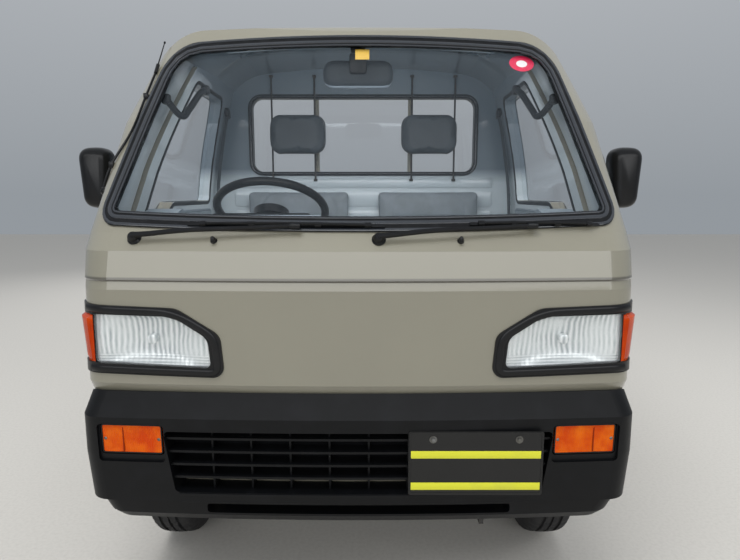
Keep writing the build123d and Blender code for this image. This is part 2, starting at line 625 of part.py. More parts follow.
# Ladder frame: two rails that kick up behind the cab, with cross members
RAIL_X = 330.0
RAIL_WIDE = 60.0
RAIL_START = 95.2
RAIL_END = 3230.0
RAIL_LOW = (320.0, 400.0)            # foot and top of the rail under the cab
RAIL_HIGH = (480.0, 560.0)           # and under the bed
KICK = (CAB_REAR + 5, 1460.0)
CROSS_LOW = (140.0, 1230.0)
CROSS_HIGH = (1560.0, 1830.0, 2760.0, 3190.0)
CROSS_SIZE = (54.0, 54.0)
TOW_EYE_RADIUS = 14.0
TOW_EYE_HEIGHT = 300.0
TOW_EYE_STATION = 142.0
TOW_PLATE = 12.0
TOW_PLATE_DEEP = 56.0
TOW_PLATE_FOOT = 270.0
with BuildPart() as chassis_frame:
    for side in (-1, 1):
        with BuildSketch(Plane.YZ.offset(side * RAIL_X)):
            with BuildLine():
                Polyline(*side_points([
                    (RAIL_START, RAIL_LOW[0]), (KICK[0] + 20, RAIL_LOW[0]), (KICK[1] + 20, RAIL_HIGH[0]),
                    (RAIL_END, RAIL_HIGH[0]), (RAIL_END, RAIL_HIGH[1]), (KICK[1], RAIL_HIGH[1]),
                    (KICK[0], RAIL_LOW[1]), (RAIL_START, RAIL_LOW[1])]), close=True)
            make_face()
        extrude(amount=RAIL_WIDE / 2, both=True)
    for stations, (foot, top) in ((CROSS_LOW, RAIL_LOW), (CROSS_HIGH, RAIL_HIGH)):
        with Locations([(0, y_at(station), (foot + top) / 2) for station in stations]):
            Box(2 * RAIL_X - RAIL_WIDE, *CROSS_SIZE)
    with BuildSketch(Plane.YZ.offset(RAIL_X)):
        with Locations((y_at(TOW_EYE_STATION), (TOW_PLATE_FOOT + RAIL_LOW[1]) / 2)):
            Rectangle(TOW_PLATE_DEEP, RAIL_LOW[1] - TOW_PLATE_FOOT)
        with Locations((y_at(TOW_EYE_STATION), TOW_EYE_HEIGHT)):
            Circle(TOW_EYE_RADIUS, mode=Mode.SUBTRACT)
    extrude(amount=TOW_PLATE / 2, both=True)
keep(chassis_frame, "chassis_frame")

# Cab floor with wheel houses and the seat box
FLOOR = 12.0
FLOOR_HALF = 626.0
FLOOR_TOP = SKIRT + FLOOR
HOUSE_INNER = 375.0
HOUSE_RADIUS = 330.0
HOUSE_WALL = 11.0
SEAT_BOX_HALF = 596.0
SEAT_BOX_FRONT = 800.0
SEAT_BOX_TOP = 650.0
SEAT_BOX_WALL = 10.0
cabin_space = cab_volume(PANEL + FIT)
seat_box_deep = REAR_PANEL - FIT - SEAT_BOX_FRONT
with BuildPart() as cab_floor:
    with BuildSketch(Plane.XY.offset(SKIRT)):
        with Locations((0, y_at(REAR_PANEL / 2))):
            Rectangle(2 * FLOOR_HALF, REAR_PANEL)
    extrude(amount=FLOOR)
    with BuildSketch(Plane.XY.offset(SKIRT)):
        with Locations((0, y_at(SEAT_BOX_FRONT + seat_box_deep / 2))):
            Rectangle(2 * SEAT_BOX_HALF, seat_box_deep)
    extrude(amount=SEAT_BOX_TOP - SKIRT)
    with BuildSketch(Plane.XY.offset(SKIRT)):
        with Locations((0, y_at(SEAT_BOX_FRONT + seat_box_deep / 2))):
            Rectangle(2 * (SEAT_BOX_HALF - SEAT_BOX_WALL), seat_box_deep - 2 * SEAT_BOX_WALL)
    extrude(amount=SEAT_BOX_TOP - SKIRT - SEAT_BOX_WALL, mode=Mode.SUBTRACT)
    for side in (-1, 1):
        for radius, inner, reach, mode in (
                (HOUSE_RADIUS, HOUSE_INNER - HOUSE_WALL, FLOOR_HALF, Mode.ADD),
                (HOUSE_RADIUS - HOUSE_WALL, HOUSE_INNER, FLOOR_HALF + 5, Mode.SUBTRACT)):
            with BuildSketch(Plane.YZ.offset(side * inner)):
                with Locations((y_at(FRONT_AXLE), TYRE_RADIUS)):
                    Circle(radius)
            extrude(amount=side * (reach - inner), mode=mode)
    split(bisect_by=Plane.XY.offset(SKIRT), keep=Keep.TOP)
    add(cabin_space, mode=Mode.INTERSECT)
keep(cab_floor, "cab_floor")

# Dashboard, with a hood over the driver's dials
DASH_HALF = 608.0
DRIVER_X = -292.0
WHEEL_CENTRE = (DRIVER_X, 560.0, 1103.0)     # X, station, Z of the steering wheel
WHEEL_TILT = 31.0                            # lean of the column forwards from upright
WHEEL_RIM = 187.0
RIM_SECTION = 13.0
COLUMN_RADIUS = 30.0
column_plane = Plane(origin=(WHEEL_CENTRE[0], y_at(WHEEL_CENTRE[1]), WHEEL_CENTRE[2]), x_dir=(1, 0, 0),
                     z_dir=(0, sin(radians(WHEEL_TILT)), cos(radians(WHEEL_TILT))))
with BuildPart() as dashboard:
    with BuildSketch(Plane.YZ):
        with BuildLine():
            Polyline(*side_points([(30, 800), (30, 1036), (170, 1056), (322, 1078), (372, 1052), (362, 960),
                                   (318, 836), (250, 800)]), close=True)
        make_face()
    extrude(amount=DASH_HALF, both=True)
    with BuildSketch(Plane.YZ.offset(DRIVER_X)):
        with BuildLine():
            Polyline(*side_points([(190, 1048), (240, 1080), (352, 1094), (384, 1080), (384, 1000), (300, 1000)]),
                     close=True)
        make_face()
    extrude(amount=178, both=True)
    for side in (-1, 1):
        with BuildSketch(Plane.YZ.offset(side * (DASH_HALF - 48))):
            with BuildLine():
                Polyline(*side_points([(200, 1050), (250, 1092), (340, 1112), (380, 1096), (380, 1000),
                                       (300, 1000)]), close=True)
            make_face()
        extrude(amount=48, both=True)
    with BuildSketch(column_plane):
        Circle(COLUMN_RADIUS + FIT)
    extrude(amount=-700, mode=Mode.SUBTRACT)
    add(cabin_space, mode=Mode.INTERSECT)
keep(dashboard, "dashboard")

COLUMN_TOP = 58.0                            # from the middle of the rim down to the shroud
COLUMN_LENGTH = 360.0
SHAFT_RADIUS = 11.0
shaft_length = (WHEEL_CENTRE[2] - FLOOR_TOP - FIT) / cos(radians(WHEEL_TILT)) - SHAFT_RADIUS * tan(radians(WHEEL_TILT))
with BuildPart() as steering_column:
    with BuildSketch(column_plane.offset(-COLUMN_TOP)):
        Circle(COLUMN_RADIUS)
    extrude(amount=-COLUMN_LENGTH)
    with BuildSketch(column_plane.offset(-COLUMN_TOP - COLUMN_LENGTH)):
        Circle(SHAFT_RADIUS)
    extrude(amount=-(shaft_length - COLUMN_TOP - COLUMN_LENGTH))
    with Locations(column_plane.offset(-COLUMN_TOP - 40)):
        with Locations((-95, 0), (95, 0)):
            Box(150, 12, 10)
keep(steering_column, "steering_column")

HUB_DROP = 34.0
with BuildPart() as steering_wheel:
    with BuildSketch(Plane(origin=column_plane.origin + column_plane.x_dir * (WHEEL_RIM - RIM_SECTION),
                           x_dir=column_plane.x_dir, z_dir=column_plane.y_dir)):
        Circle(RIM_SECTION)
    revolve(axis=Axis(column_plane.origin, column_plane.z_dir))
    with BuildSketch(column_plane.offset(-HUB_DROP)):
        Circle(58)
    extrude(amount=26)
    with BuildSketch(column_plane.offset(-COLUMN_TOP + FIT)):
        Circle(24)
    extrude(amount=COLUMN_TOP - HUB_DROP + 2)
    with BuildSketch(column_plane.offset(-HUB_DROP + 6)):
        for turn in (20, 160, 70, 110):
            with Locations(Location((0, 0, 0), (0, 0, turn))):
                with Locations((WHEEL_RIM / 2, 0)):
                    Rectangle(WHEEL_RIM - 2 * RIM_SECTION, 22)
    extrude(amount=20)
keep(steering_wheel, "steering_wheel")

# Seats: two cushions and two backs
SEAT_X = 280.0
CUSHION = (448.0, 430.0, 118.0)
CUSHION_STATION = 915.0
BACK_HALF = 224.0
BACK_HEAD = 1177.0
BACK_FRONT = CUSHION_STATION + CUSHION[1] / 2 + 1
with BuildPart() as seat_cushions:
    with Locations([(side * SEAT_X, y_at(CUSHION_STATION), SEAT_BOX_TOP + FIT + CUSHION[2] / 2)
                    for side in (-1, 1)]):
        Box(*CUSHION)
    fillet(seat_cushions.edges().filter_by(Axis.Z), 48)
    fillet(seat_cushions.faces().sort_by(Axis.Z)[-2:].edges(), 30)
keep(seat_cushions, "seat_cushions")

with BuildPart() as seat_backs:
    for side in (-1, 1):
        with BuildSketch(Plane.YZ.offset(side * SEAT_X)):
            with BuildLine():
                Polyline(*side_points([(BACK_FRONT, SEAT_BOX_TOP + FIT), (BACK_FRONT + 27, BACK_HEAD),
                                       (REAR_PANEL - 8, BACK_HEAD), (REAR_PANEL - FIT, SEAT_BOX_TOP + FIT)]),
                         close=True)
            make_face()
        extrude(amount=BACK_HALF, both=True)
    fillet(seat_backs.edges().filter_by(GeomType.LINE).group_by(Axis.Z)[-1], 22)
keep(seat_backs, "seat_backs")

# Rods behind the seats, in front of the rear window, which carry the head rests
ROD_RADIUS = 4.0
ROD_X = (210.0, 395.0)
ROD_STATION = 1219.0
ROD_FOOT = 1212.0
ROD_HEAD = 1660.0
ROD_PAD = (16.0, 10.0)
with BuildPart() as window_rods:
    with BuildSketch(Plane.XY.offset(ROD_FOOT)):
        with Locations([(side * x, y_at(ROD_STATION)) for side in (-1, 1) for x in ROD_X]):
            Circle(ROD_RADIUS)
    extrude(amount=ROD_HEAD - ROD_FOOT)
    with Locations([(side * x, y_at((ROD_STATION + REAR_PANEL) / 2), height)
                    for side in (-1, 1) for x in ROD_X
                    for height in (ROD_FOOT + ROD_PAD[1] / 2, ROD_HEAD - ROD_PAD[1] / 2)]):
        Box(ROD_PAD[0], REAR_PANEL - ROD_STATION, ROD_PAD[1])
keep(window_rods, "window_rods")

HEADREST = (244.0, 66.0, 178.0)
HEADREST_X = 282.0
HEADREST_Z = 1408.0
headrest_station = ROD_STATION - ROD_RADIUS - FIT - HEADREST[1] / 2
with BuildPart() as head_rests:
    with Locations([(side * HEADREST_X, y_at(headrest_station), HEADREST_Z) for side in (-1, 1)]):
        Box(*HEADREST)
    fillet(head_rests.edges().filter_by(Axis.Y), 52)
    fillet(head_rests.faces().sort_by(Axis.Y)[:2].edges(), 22)
keep(head_rests, "head_rests")

INNER_MIRROR = (-7.0, 486.0, 1513.0)         # X, station and Z of its middle
with BuildPart() as inner_mirror:
    with BuildSketch(front_plane(INNER_MIRROR[1] + 14)):
        with Locations((INNER_MIRROR[0], INNER_MIRROR[2])):
            RectangleRounded(212, 82, 34)
    extrude(amount=28, taper=8)
    with BuildSketch(Plane.XY.offset(INNER_MIRROR[2])):
        with Locations((INNER_MIRROR[0], y_at(INNER_MIRROR[1]))):
            Circle(9)
    extrude(amount=180)
    add(cabin_space, mode=Mode.INTERSECT)
keep(inner_mirror, "inner_mirror")

# Cargo bed: ribbed deck on cross sills, headboard, guard frame and three gates
BED_FRONT = 1328.0
GATE_THICK = 30.0
GATE_FOOT = 636.0
GATE_TOP = 935.0
GATE_AXIS_IN = 9.5                    # hinge line, in from the gate's outer face
GATE_AXIS_Z = 648.0
GATE_SWING = 38.5                     # room for a gate and the swing of its foot
DECK_HALF = BED_HALF - GATE_SWING
DECK_REAR = LENGTH - GATE_SWING
DECK_PLATE = 24.0
SILL_FOOT = RAIL_HIGH[1]
SILL_WIDE = 50.0
SILL_STATIONS = (BED_FRONT + SILL_WIDE / 2, 1700.0, 2048.0, 2480.0, 2850.0, DECK_REAR - SILL_WIDE / 2)
RIB_PITCH = 82.0
RIB_COUNT = 15
RIB_WIDE = 26.0
RIB_DEEP = 7.0
SIDE_CHANNEL = (18.0, 76.0)
BRACKET_WIDE = 26.0
BRACKET_RADIUS = 8.5
BRACKET_ARM = 11.0
PIN_RADIUS = 4.0
NOTCH_WIDE = 34.0
NOTCH_TOP = 669.0
SIDE_HINGES = (1440.0, 1880.0, 2320.0, 2760.0, 3180.0)
TAIL_HINGES = (-520.0, -175.0, 175.0, 520.0)
bed_middle = (BED_FRONT + DECK_REAR) / 2
side_axis_x = BED_HALF - GATE_AXIS_IN
tail_axis_y = y_at(LENGTH - GATE_AXIS_IN)
side_hinge_places = [(side * side_axis_x, y_at(station), GATE_AXIS_Z) for side in (-1, 1) for station in SIDE_HINGES]
tail_hinge_places = [(x, tail_axis_y, GATE_AXIS_Z) for x in TAIL_HINGES]
with BuildPart() as bed_floor:
    with BuildSketch(Plane.XY.offset(DECK_HEIGHT - DECK_PLATE)):
        with Locations((0, y_at(bed_middle))):
            Rectangle(2 * DECK_HALF, DECK_REAR - BED_FRONT)
    extrude(amount=DECK_PLATE)
    with BuildSketch(Plane.XY.offset(DECK_HEIGHT)):
        with Locations((0, y_at(bed_middle))):
            with GridLocations(RIB_PITCH, 1, RIB_COUNT, 1):
                Rectangle(RIB_WIDE, DECK_REAR - BED_FRONT - 160)
    extrude(amount=-RIB_DEEP, mode=Mode.SUBTRACT)
    with Locations([(0, y_at(station), (SILL_FOOT + DECK_HEIGHT - DECK_PLATE) / 2) for station in SILL_STATIONS]):
        Box(2 * DECK_HALF, SILL_WIDE, DECK_HEIGHT - DECK_PLATE - SILL_FOOT)
    with Locations([(side * (DECK_HALF - SIDE_CHANNEL[0] / 2), y_at(bed_middle), DECK_HEIGHT - SIDE_CHANNEL[1] / 2)
                    for side in (-1, 1)]):
        Box(SIDE_CHANNEL[0], DECK_REAR - BED_FRONT, SIDE_CHANNEL[1])
    with Locations([(side * (side_axis_x + DECK_HALF) / 2, y_at(station), GATE_AXIS_Z - BRACKET_ARM / 2 + 1)
                    for side in (-1, 1) for station in SIDE_HINGES]):
        Box(side_axis_x - DECK_HALF, BRACKET_WIDE, BRACKET_ARM)
    with Locations([(x, (tail_axis_y + y_at(DECK_REAR)) / 2, GATE_AXIS_Z - BRACKET_ARM / 2 + 1)
                    for x in TAIL_HINGES]):
        Box(BRACKET_WIDE, tail_axis_y - y_at(DECK_REAR), BRACKET_ARM)
    for radius, mode in ((BRACKET_RADIUS, Mode.ADD), (PIN_RADIUS + FIT, Mode.SUBTRACT)):
        with Locations(side_hinge_places):
            Cylinder(radius, BRACKET_WIDE, rotation=(90, 0, 0), mode=mode)
        with Locations(tail_hinge_places):
            Cylinder(radius, BRACKET_WIDE, rotation=(0, 90, 0), mode=mode)
keep(bed_floor, "bed_floor")

HEADBOARD_THICK = 26.0
HEADBOARD_TOP = GATE_TOP + 5
SWAGES = (728.0, 808.0, 884.0)        # heights of the pressed swages in headboard and gates
SWAGE_WIDE = 34.0
SWAGE_DEEP = 7.0
with BuildPart() as headboard:
    with BuildSketch(front_plane(BED_FRONT)):
        with Locations((0, (SILL_FOOT + HEADBOARD_TOP) / 2)):
            RectangleRounded(2 * (BED_HALF - 6), HEADBOARD_TOP - SILL_FOOT, 10)
    extrude(amount=HEADBOARD_THICK)
    with BuildSketch(front_plane(BED_FRONT)):
        with Locations([(0, height) for height in SWAGES]):
            SlotOverall(2 * DECK_HALF - 80, SWAGE_WIDE)
    extrude(amount=SWAGE_DEEP, mode=Mode.SUBTRACT)
keep(headboard, "headboard")

POST_RADIUS = 13.5
POST_X = 585.0
INNER_POST_X = 210.0
GUARD_TOP = 1760.0
GUARD_CORNER = 90.0
guard_station = BED_FRONT - HEADBOARD_THICK / 2
with BuildPart() as guard_frame:
    with BuildLine(front_plane(guard_station)):
        FilletPolyline((-POST_X, HEADBOARD_TOP), (-POST_X, GUARD_TOP - POST_RADIUS),
                       (POST_X, GUARD_TOP - POST_RADIUS), (POST_X, HEADBOARD_TOP), radius=GUARD_CORNER)
    with BuildSketch(Plane.XY.offset(HEADBOARD_TOP)):
        with Locations((-POST_X, y_at(guard_station))):
            Circle(POST_RADIUS)
    sweep()
    with BuildSketch(Plane.XY.offset(HEADBOARD_TOP)):
        with Locations((-INNER_POST_X, y_at(guard_station)), (INNER_POST_X, y_at(guard_station))):
            Circle(POST_RADIUS - 2)
    extrude(amount=GUARD_TOP - POST_RADIUS - HEADBOARD_TOP)
keep(guard_frame, "guard_frame")

gate_front = BED_FRONT + SHUT_GAP
gate_middle = (gate_front + DECK_REAR) / 2
for name, side in SIDES:
    with BuildPart() as side_gate:
        with Locations((side * (BED_HALF - GATE_THICK / 2), y_at(gate_middle), (GATE_FOOT + GATE_TOP) / 2)):
            Box(GATE_THICK, DECK_REAR - gate_front, GATE_TOP - GATE_FOOT)
        with BuildSketch(Plane.YZ.offset(side * BED_HALF)):
            with Locations([(y_at(gate_middle), height) for height in SWAGES]):
                SlotOverall(DECK_REAR - gate_front - 120, SWAGE_WIDE)
        extrude(amount=-side * SWAGE_DEEP, mode=Mode.SUBTRACT)
        with Locations([(side * (BED_HALF - GATE_THICK / 2), y_at(station), (GATE_FOOT + NOTCH_TOP) / 2)
                        for station in SIDE_HINGES]):
            Box(GATE_THICK, NOTCH_WIDE, NOTCH_TOP - GATE_FOOT, mode=Mode.SUBTRACT)
        with Locations([(side * side_axis_x, y_at(station), GATE_AXIS_Z) for station in SIDE_HINGES]):
            Cylinder(PIN_RADIUS, NOTCH_WIDE + 2, rotation=(90, 0, 0))
    keep(side_gate, f"side_gate_{name}")

with BuildPart() as tail_gate:
    with Locations((0, y_at(LENGTH - GATE_THICK / 2), (GATE_FOOT + GATE_TOP) / 2)):
        Box(2 * BED_HALF, GATE_THICK, GATE_TOP - GATE_FOOT)
    with BuildSketch(front_plane(LENGTH)):
        with Locations([(0, height) for height in SWAGES]):
            SlotOverall(2 * BED_HALF - 140, SWAGE_WIDE)
    extrude(amount=SWAGE_DEEP, mode=Mode.SUBTRACT)
    with Locations([(x, y_at(LENGTH - GATE_THICK / 2), (GATE_FOOT + NOTCH_TOP) / 2) for x in TAIL_HINGES]):
        Box(NOTCH_WIDE, GATE_THICK, NOTCH_TOP - GATE_FOOT, mode=Mode.SUBTRACT)
    with Locations(tail_hinge_places):
        Cylinder(PIN_RADIUS, NOTCH_WIDE + 2, rotation=(0, 90, 0))
keep(tail_gate, "tail_gate")

# Rear lamps hang from the last cross sill
REAR_LAMP = (190.0, 46.0, 84.0)
REAR_LAMP_X = 545.0
with BuildPart() as tail_lamps:
    with Locations([(side * REAR_LAMP_X, y_at(SILL_STATIONS[-1]), SILL_FOOT - REAR_LAMP[2] / 2)
                    for side in (-1, 1)]):
        Box(*REAR_LAMP)
    fillet(tail_lamps.edges().filter_by(Axis.Y), 8)
keep(tail_lamps, "tail_lamps")

# Power unit ahead of the rear axle, on two beams between the rails
ENGINE = (400.0, 330.0, 290.0)
ENGINE_STATION = 2120.0
ENGINE_Z = 375.0
GEARBOX_HALF = 110.0
ENGINE_BEAMS = (2020.0, 2240.0)
BEAM_Z = 500.0
with BuildPart() as engine_block:
    with Locations((-20, y_at(ENGINE_STATION), ENGINE_Z)):
        Box(*ENGINE)
    fillet(engine_block.edges().filter_by(Axis.Z), 12)
    with Locations((0, y_at(REAR_AXLE - 90), TYRE_RADIUS + 35)):
        Box(2 * GEARBOX_HALF, 230, 170)
    with Locations([(0, y_at(station), BEAM_Z) for station in ENGINE_BEAMS]):
        Box(2 * RAIL_X - RAIL_WIDE, 40, 36)
keep(engine_block, "engine_block")

TANK = (500.0, 380.0, 190.0)
cross_foot = (RAIL_HIGH[0] + RAIL_HIGH[1] - CROSS_SIZE[1]) / 2
with BuildPart() as fuel_tank:
    with Locations((0, y_at((CROSS_HIGH[0] + CROSS_HIGH[1]) / 2), cross_foot - TANK[2] / 2)):
        Box(*TANK)
    fillet(fuel_tank.edges().filter_by(Axis.X), 34)
    fillet(fuel_tank.edges().filter_by(Axis.Z), 10)
keep(fuel_tank, "fuel_tank")

MUFFLER_X = 60.0
MUFFLER_Z = 360.0
MUFFLER_RADIUS = 75.0
MUFFLER_LENGTH = 420.0
TAILPIPE_X = -220.0
TAILPIPE_RADIUS = 17.0
muffler_y = y_at(CROSS_HIGH[2])
with BuildPart() as exhaust:
    with Locations((MUFFLER_X, muffler_y, MUFFLER_Z)):
        Cylinder(MUFFLER_RADIUS, MUFFLER_LENGTH, rotation=(0, 90, 0))
    fillet(exhaust.edges().filter_by(GeomType.CIRCLE), 14)
    with BuildLine():
        FilletPolyline((MUFFLER_X - MUFFLER_LENGTH / 2 + 10, muffler_y, MUFFLER_Z),
                       (TAILPIPE_X, muffler_y, MUFFLER_Z), (TAILPIPE_X, y_at(3225), MUFFLER_Z), radius=36)
    with BuildSketch(Plane(origin=(MUFFLER_X - MUFFLER_LENGTH / 2 + 10, muffler_y, MUFFLER_Z), z_dir=(-1, 0, 0))):
        Circle(TAILPIPE_RADIUS)
    sweep()
    with Locations((MUFFLER_X, muffler_y, (MUFFLER_Z + MUFFLER_RADIUS - 5 + cross_foot) / 2)):
        Box(60, 30, cross_foot - MUFFLER_Z - MUFFLER_RADIUS + 5)
keep(exhaust, "exhaust")

# Front suspension: cross member, lower arms, struts and the steering rack
KINGPIN_X = 520.0
KINGPIN_FOOT = 196.0
KINGPIN_TOP = 348.0
STRUT_FOOT_X = 502.0
STRUT_TOP_X = 455.0
STRUT_RADIUS = 21.0
STRUT_FOOT_UP = 6.0
SPRING_RADIUS = 35.0
SPRING_UP = 130.0                    # along the strut from its foot
SPRING_LENGTH = 92.0
CROSS_FOOT = 240.0
CROSS_DEEP = 90.0
ARM_ROOT = 320.0                     # where the lower arm starts under the cross member
ARM_ROOT_HALF = 42.0
ARM_TIP_HALF = 18.0
ARM_TIP_REACH = 6.0
ARM_THICK = 22.0
RACK_AHEAD = 80.0
RACK_RADIUS = 24.0
RACK_LENGTH = 640.0
with BuildPart() as struts:
    for side in (-1, 1):
        foot = Vector(side * STRUT_FOOT_X, y_at(FRONT_AXLE), KINGPIN_TOP + FIT)
        head = Vector(side * STRUT_TOP_X, y_at(FRONT_AXLE), TYRE_RADIUS + HOUSE_RADIUS)
        strut_line = Plane(origin=foot, z_dir=head - foot)
        with BuildSketch(strut_line.offset(STRUT_FOOT_UP)):
            Circle(STRUT_RADIUS)
        extrude(amount=(head - foot).length - STRUT_FOOT_UP)
        with BuildSketch(strut_line.offset(SPRING_UP)):
            Circle(SPRING_RADIUS)
        extrude(amount=SPRING_LENGTH)
    with Locations((0, y_at(FRONT_AXLE), TYRE_RADIUS)):
        Cylinder(HOUSE_RADIUS - HOUSE_WALL - FIT, 2 * KINGPIN_X + 8 * SPRING_RADIUS, rotation=(0, 90, 0),
                 mode=Mode.INTERSECT)

with BuildPart() as front_suspension:
    with Locations((0, y_at(FRONT_AXLE), (CROSS_FOOT + RAIL_LOW[0]) / 2)):
        Box(2 * RAIL_X + RAIL_WIDE, CROSS_DEEP, RAIL_LOW[0] - CROSS_FOOT)
    with Locations((0, y_at(FRONT_AXLE - RACK_AHEAD), CROSS_FOOT + RACK_RADIUS - 2)):
        Cylinder(RACK_RADIUS, RACK_LENGTH, rotation=(0, 90, 0))
    with Locations((0, y_at(FRONT_AXLE - RACK_AHEAD + 20), CROSS_FOOT + RACK_RADIUS - 2)):
        Box(CROSS_DEEP, RACK_AHEAD - 20, 30)
    for side in (-1, 1):
        arm_tip = side * (KINGPIN_X + ARM_TIP_REACH)
        with BuildSketch(Plane.XY.offset(KINGPIN_FOOT - FIT)):
            with BuildLine():
                Polyline((side * ARM_ROOT, y_at(FRONT_AXLE - ARM_ROOT_HALF)), (arm_tip, y_at(FRONT_AXLE - ARM_TIP_HALF)),
                         (arm_tip, y_at(FRONT_AXLE + ARM_TIP_HALF)), (side * ARM_ROOT, y_at(FRONT_AXLE + ARM_ROOT_HALF)),
                         close=True)
            make_face()
        extrude(amount=-ARM_THICK)
        with Locations((side * (ARM_ROOT + 18), y_at(FRONT_AXLE), (CROSS_FOOT + KINGPIN_FOOT - ARM_THICK) / 2)):
            Box(30, 2 * ARM_ROOT_HALF - 4, CROSS_FOOT - KINGPIN_FOOT + ARM_THICK)
    add(struts.part)
keep(front_suspension, "front_suspension")

# Rear axle: beam, hub carriers, half shafts, leaf springs and their hangers
BEAM_STATION = REAR_AXLE + 66
BEAM_RADIUS = 30.0
BEAM_HALF = 500.0
LEAF_X = 440.0
LEAF_WIDE = 50.0
LEAF_THICK = 10.0
LEAF_FOOT = 322.0
LEAF_RISE = 84.0
SPINDLE_RADIUS = 20.0
SPINDLE_END = 610.0
DRUM_RADIUS = 100.0
DRUM_X = 532.0
DRUM_WIDE = 52.0
HALF_SHAFT_RADIUS = 13.0
CARRIER = (24.0, 90.0)               # thickness and height of the plate that carries a hub
LEAVES = (
    # half length, how far the leaf lies below the main one
    (520.0, 0.0),
    (400.0, 10.0),
    (270.0, 20.0),
)
with BuildPart() as rear_axle:
    with Locations((0, y_at(BEAM_STATION), TYRE_RADIUS)):
        Cylinder(BEAM_RADIUS, 2 * BEAM_HALF, rotation=(0, 90, 0))
    for side in (-1, 1):
        with BuildSketch(Plane.YZ.offset(side * (BEAM_HALF + 6 - CARRIER[0]))):
            with Locations((y_at((REAR_AXLE + BEAM_STATION) / 2), TYRE_RADIUS)):
                SlotOverall(BEAM_STATION - REAR_AXLE + CARRIER[1], CARRIER[1])
        extrude(amount=side * CARRIER[0])
        with Locations((side * (SPINDLE_END + GEARBOX_HALF + FIT) / 2, y_at(REAR_AXLE), TYRE_RADIUS)):
            Cylinder(HALF_SHAFT_RADIUS, SPINDLE_END - GEARBOX_HALF - FIT, rotation=(0, 90, 0))
        with Locations((side * (SPINDLE_END + BEAM_HALF) / 2, y_at(REAR_AXLE), TYRE_RADIUS)):
            Cylinder(SPINDLE_RADIUS, SPINDLE_END - BEAM_HALF, rotation=(0, 90, 0))
        with Locations((side * DRUM_X, y_at(REAR_AXLE), TYRE_RADIUS)):
            Cylinder(DRUM_RADIUS, DRUM_WIDE, rotation=(0, 90, 0))
        for reach, drop in LEAVES:
            rise = LEAF_RISE * (reach / LEAVES[0][0]) ** 2
            foot_z = LEAF_FOOT - drop
            with BuildSketch(Plane.YZ.offset(side * LEAF_X)):
                with BuildLine():
                    ThreePointArc((y_at(BEAM_STATION - reach), foot_z + rise), (y_at(BEAM_STATION), foot_z),
                                  (y_at(BEAM_STATION + reach), foot_z + rise))
                    Line((y_at(BEAM_STATION + reach), foot_z + rise),
                         (y_at(BEAM_STATION + reach), foot_z + rise + LEAF_THICK))
                    ThreePointArc((y_at(BEAM_STATION + reach), foot_z + rise + LEAF_THICK),
                                  (y_at(BEAM_STATION), foot_z + LEAF_THICK),
                                  (y_at(BEAM_STATION - reach), foot_z + rise + LEAF_THICK))
                    Line((y_at(BEAM_STATION - reach), foot_z + rise + LEAF_THICK),
                         (y_at(BEAM_STATION - reach), foot_z + rise))
                make_face()
            extrude(amount=LEAF_WIDE / 2, both=True)
        with Locations((side * LEAF_X, y_at(BEAM_STATION), LEAF_FOOT - 14)):
            Box(LEAF_WIDE + 16, 90, 76)
        hanger_x = (RAIL_X + RAIL_WIDE / 2 + LEAF_X + LEAF_WIDE / 2) / 2
        hanger_wide = LEAF_X + LEAF_WIDE / 2 - RAIL_X - RAIL_WIDE / 2
        for end in (-1, 1):
            with Locations((side * LEAF_X, y_at(BEAM_STATION + end * LEAVES[0][0]), LEAF_FOOT + LEAF_RISE + 5)):
                Cylinder(20, LEAF_WIDE, rotation=(0, 90, 0))
            with Locations((side * hanger_x, y_at(BEAM_STATION + end * LEAVES[0][0]), LEAF_FOOT + LEAF_RISE + 50)):
                Box(hanger_wide, 44, 90)
keep(rear_axle, "rear_axle")

# Flaps behind the wheels
FLAP = 5.0
FRONT_FLAP = (90.0, 220.0)
FRONT_FLAP_PLACE = (580.0, 960.0)    # X and station of its middle
REAR_FLAP = (130.0, 370.0)
REAR_FLAP_X = 590.0
with BuildPart() as mud_flaps:
    with Locations([(side * FRONT_FLAP_PLACE[0], y_at(FRONT_FLAP_PLACE[1]), SKIRT - FRONT_FLAP[1] / 2)
                    for side in (-1, 1)]):
        Box(FRONT_FLAP[0], FLAP, FRONT_FLAP[1])
    with Locations([(side * REAR_FLAP_X, y_at(SILL_STATIONS[4]), SILL_FOOT - REAR_FLAP[1] / 2) for side in (-1, 1)]):
        Box(REAR_FLAP[0], FLAP, REAR_FLAP[1])
keep(mud_flaps, "mud_flaps")

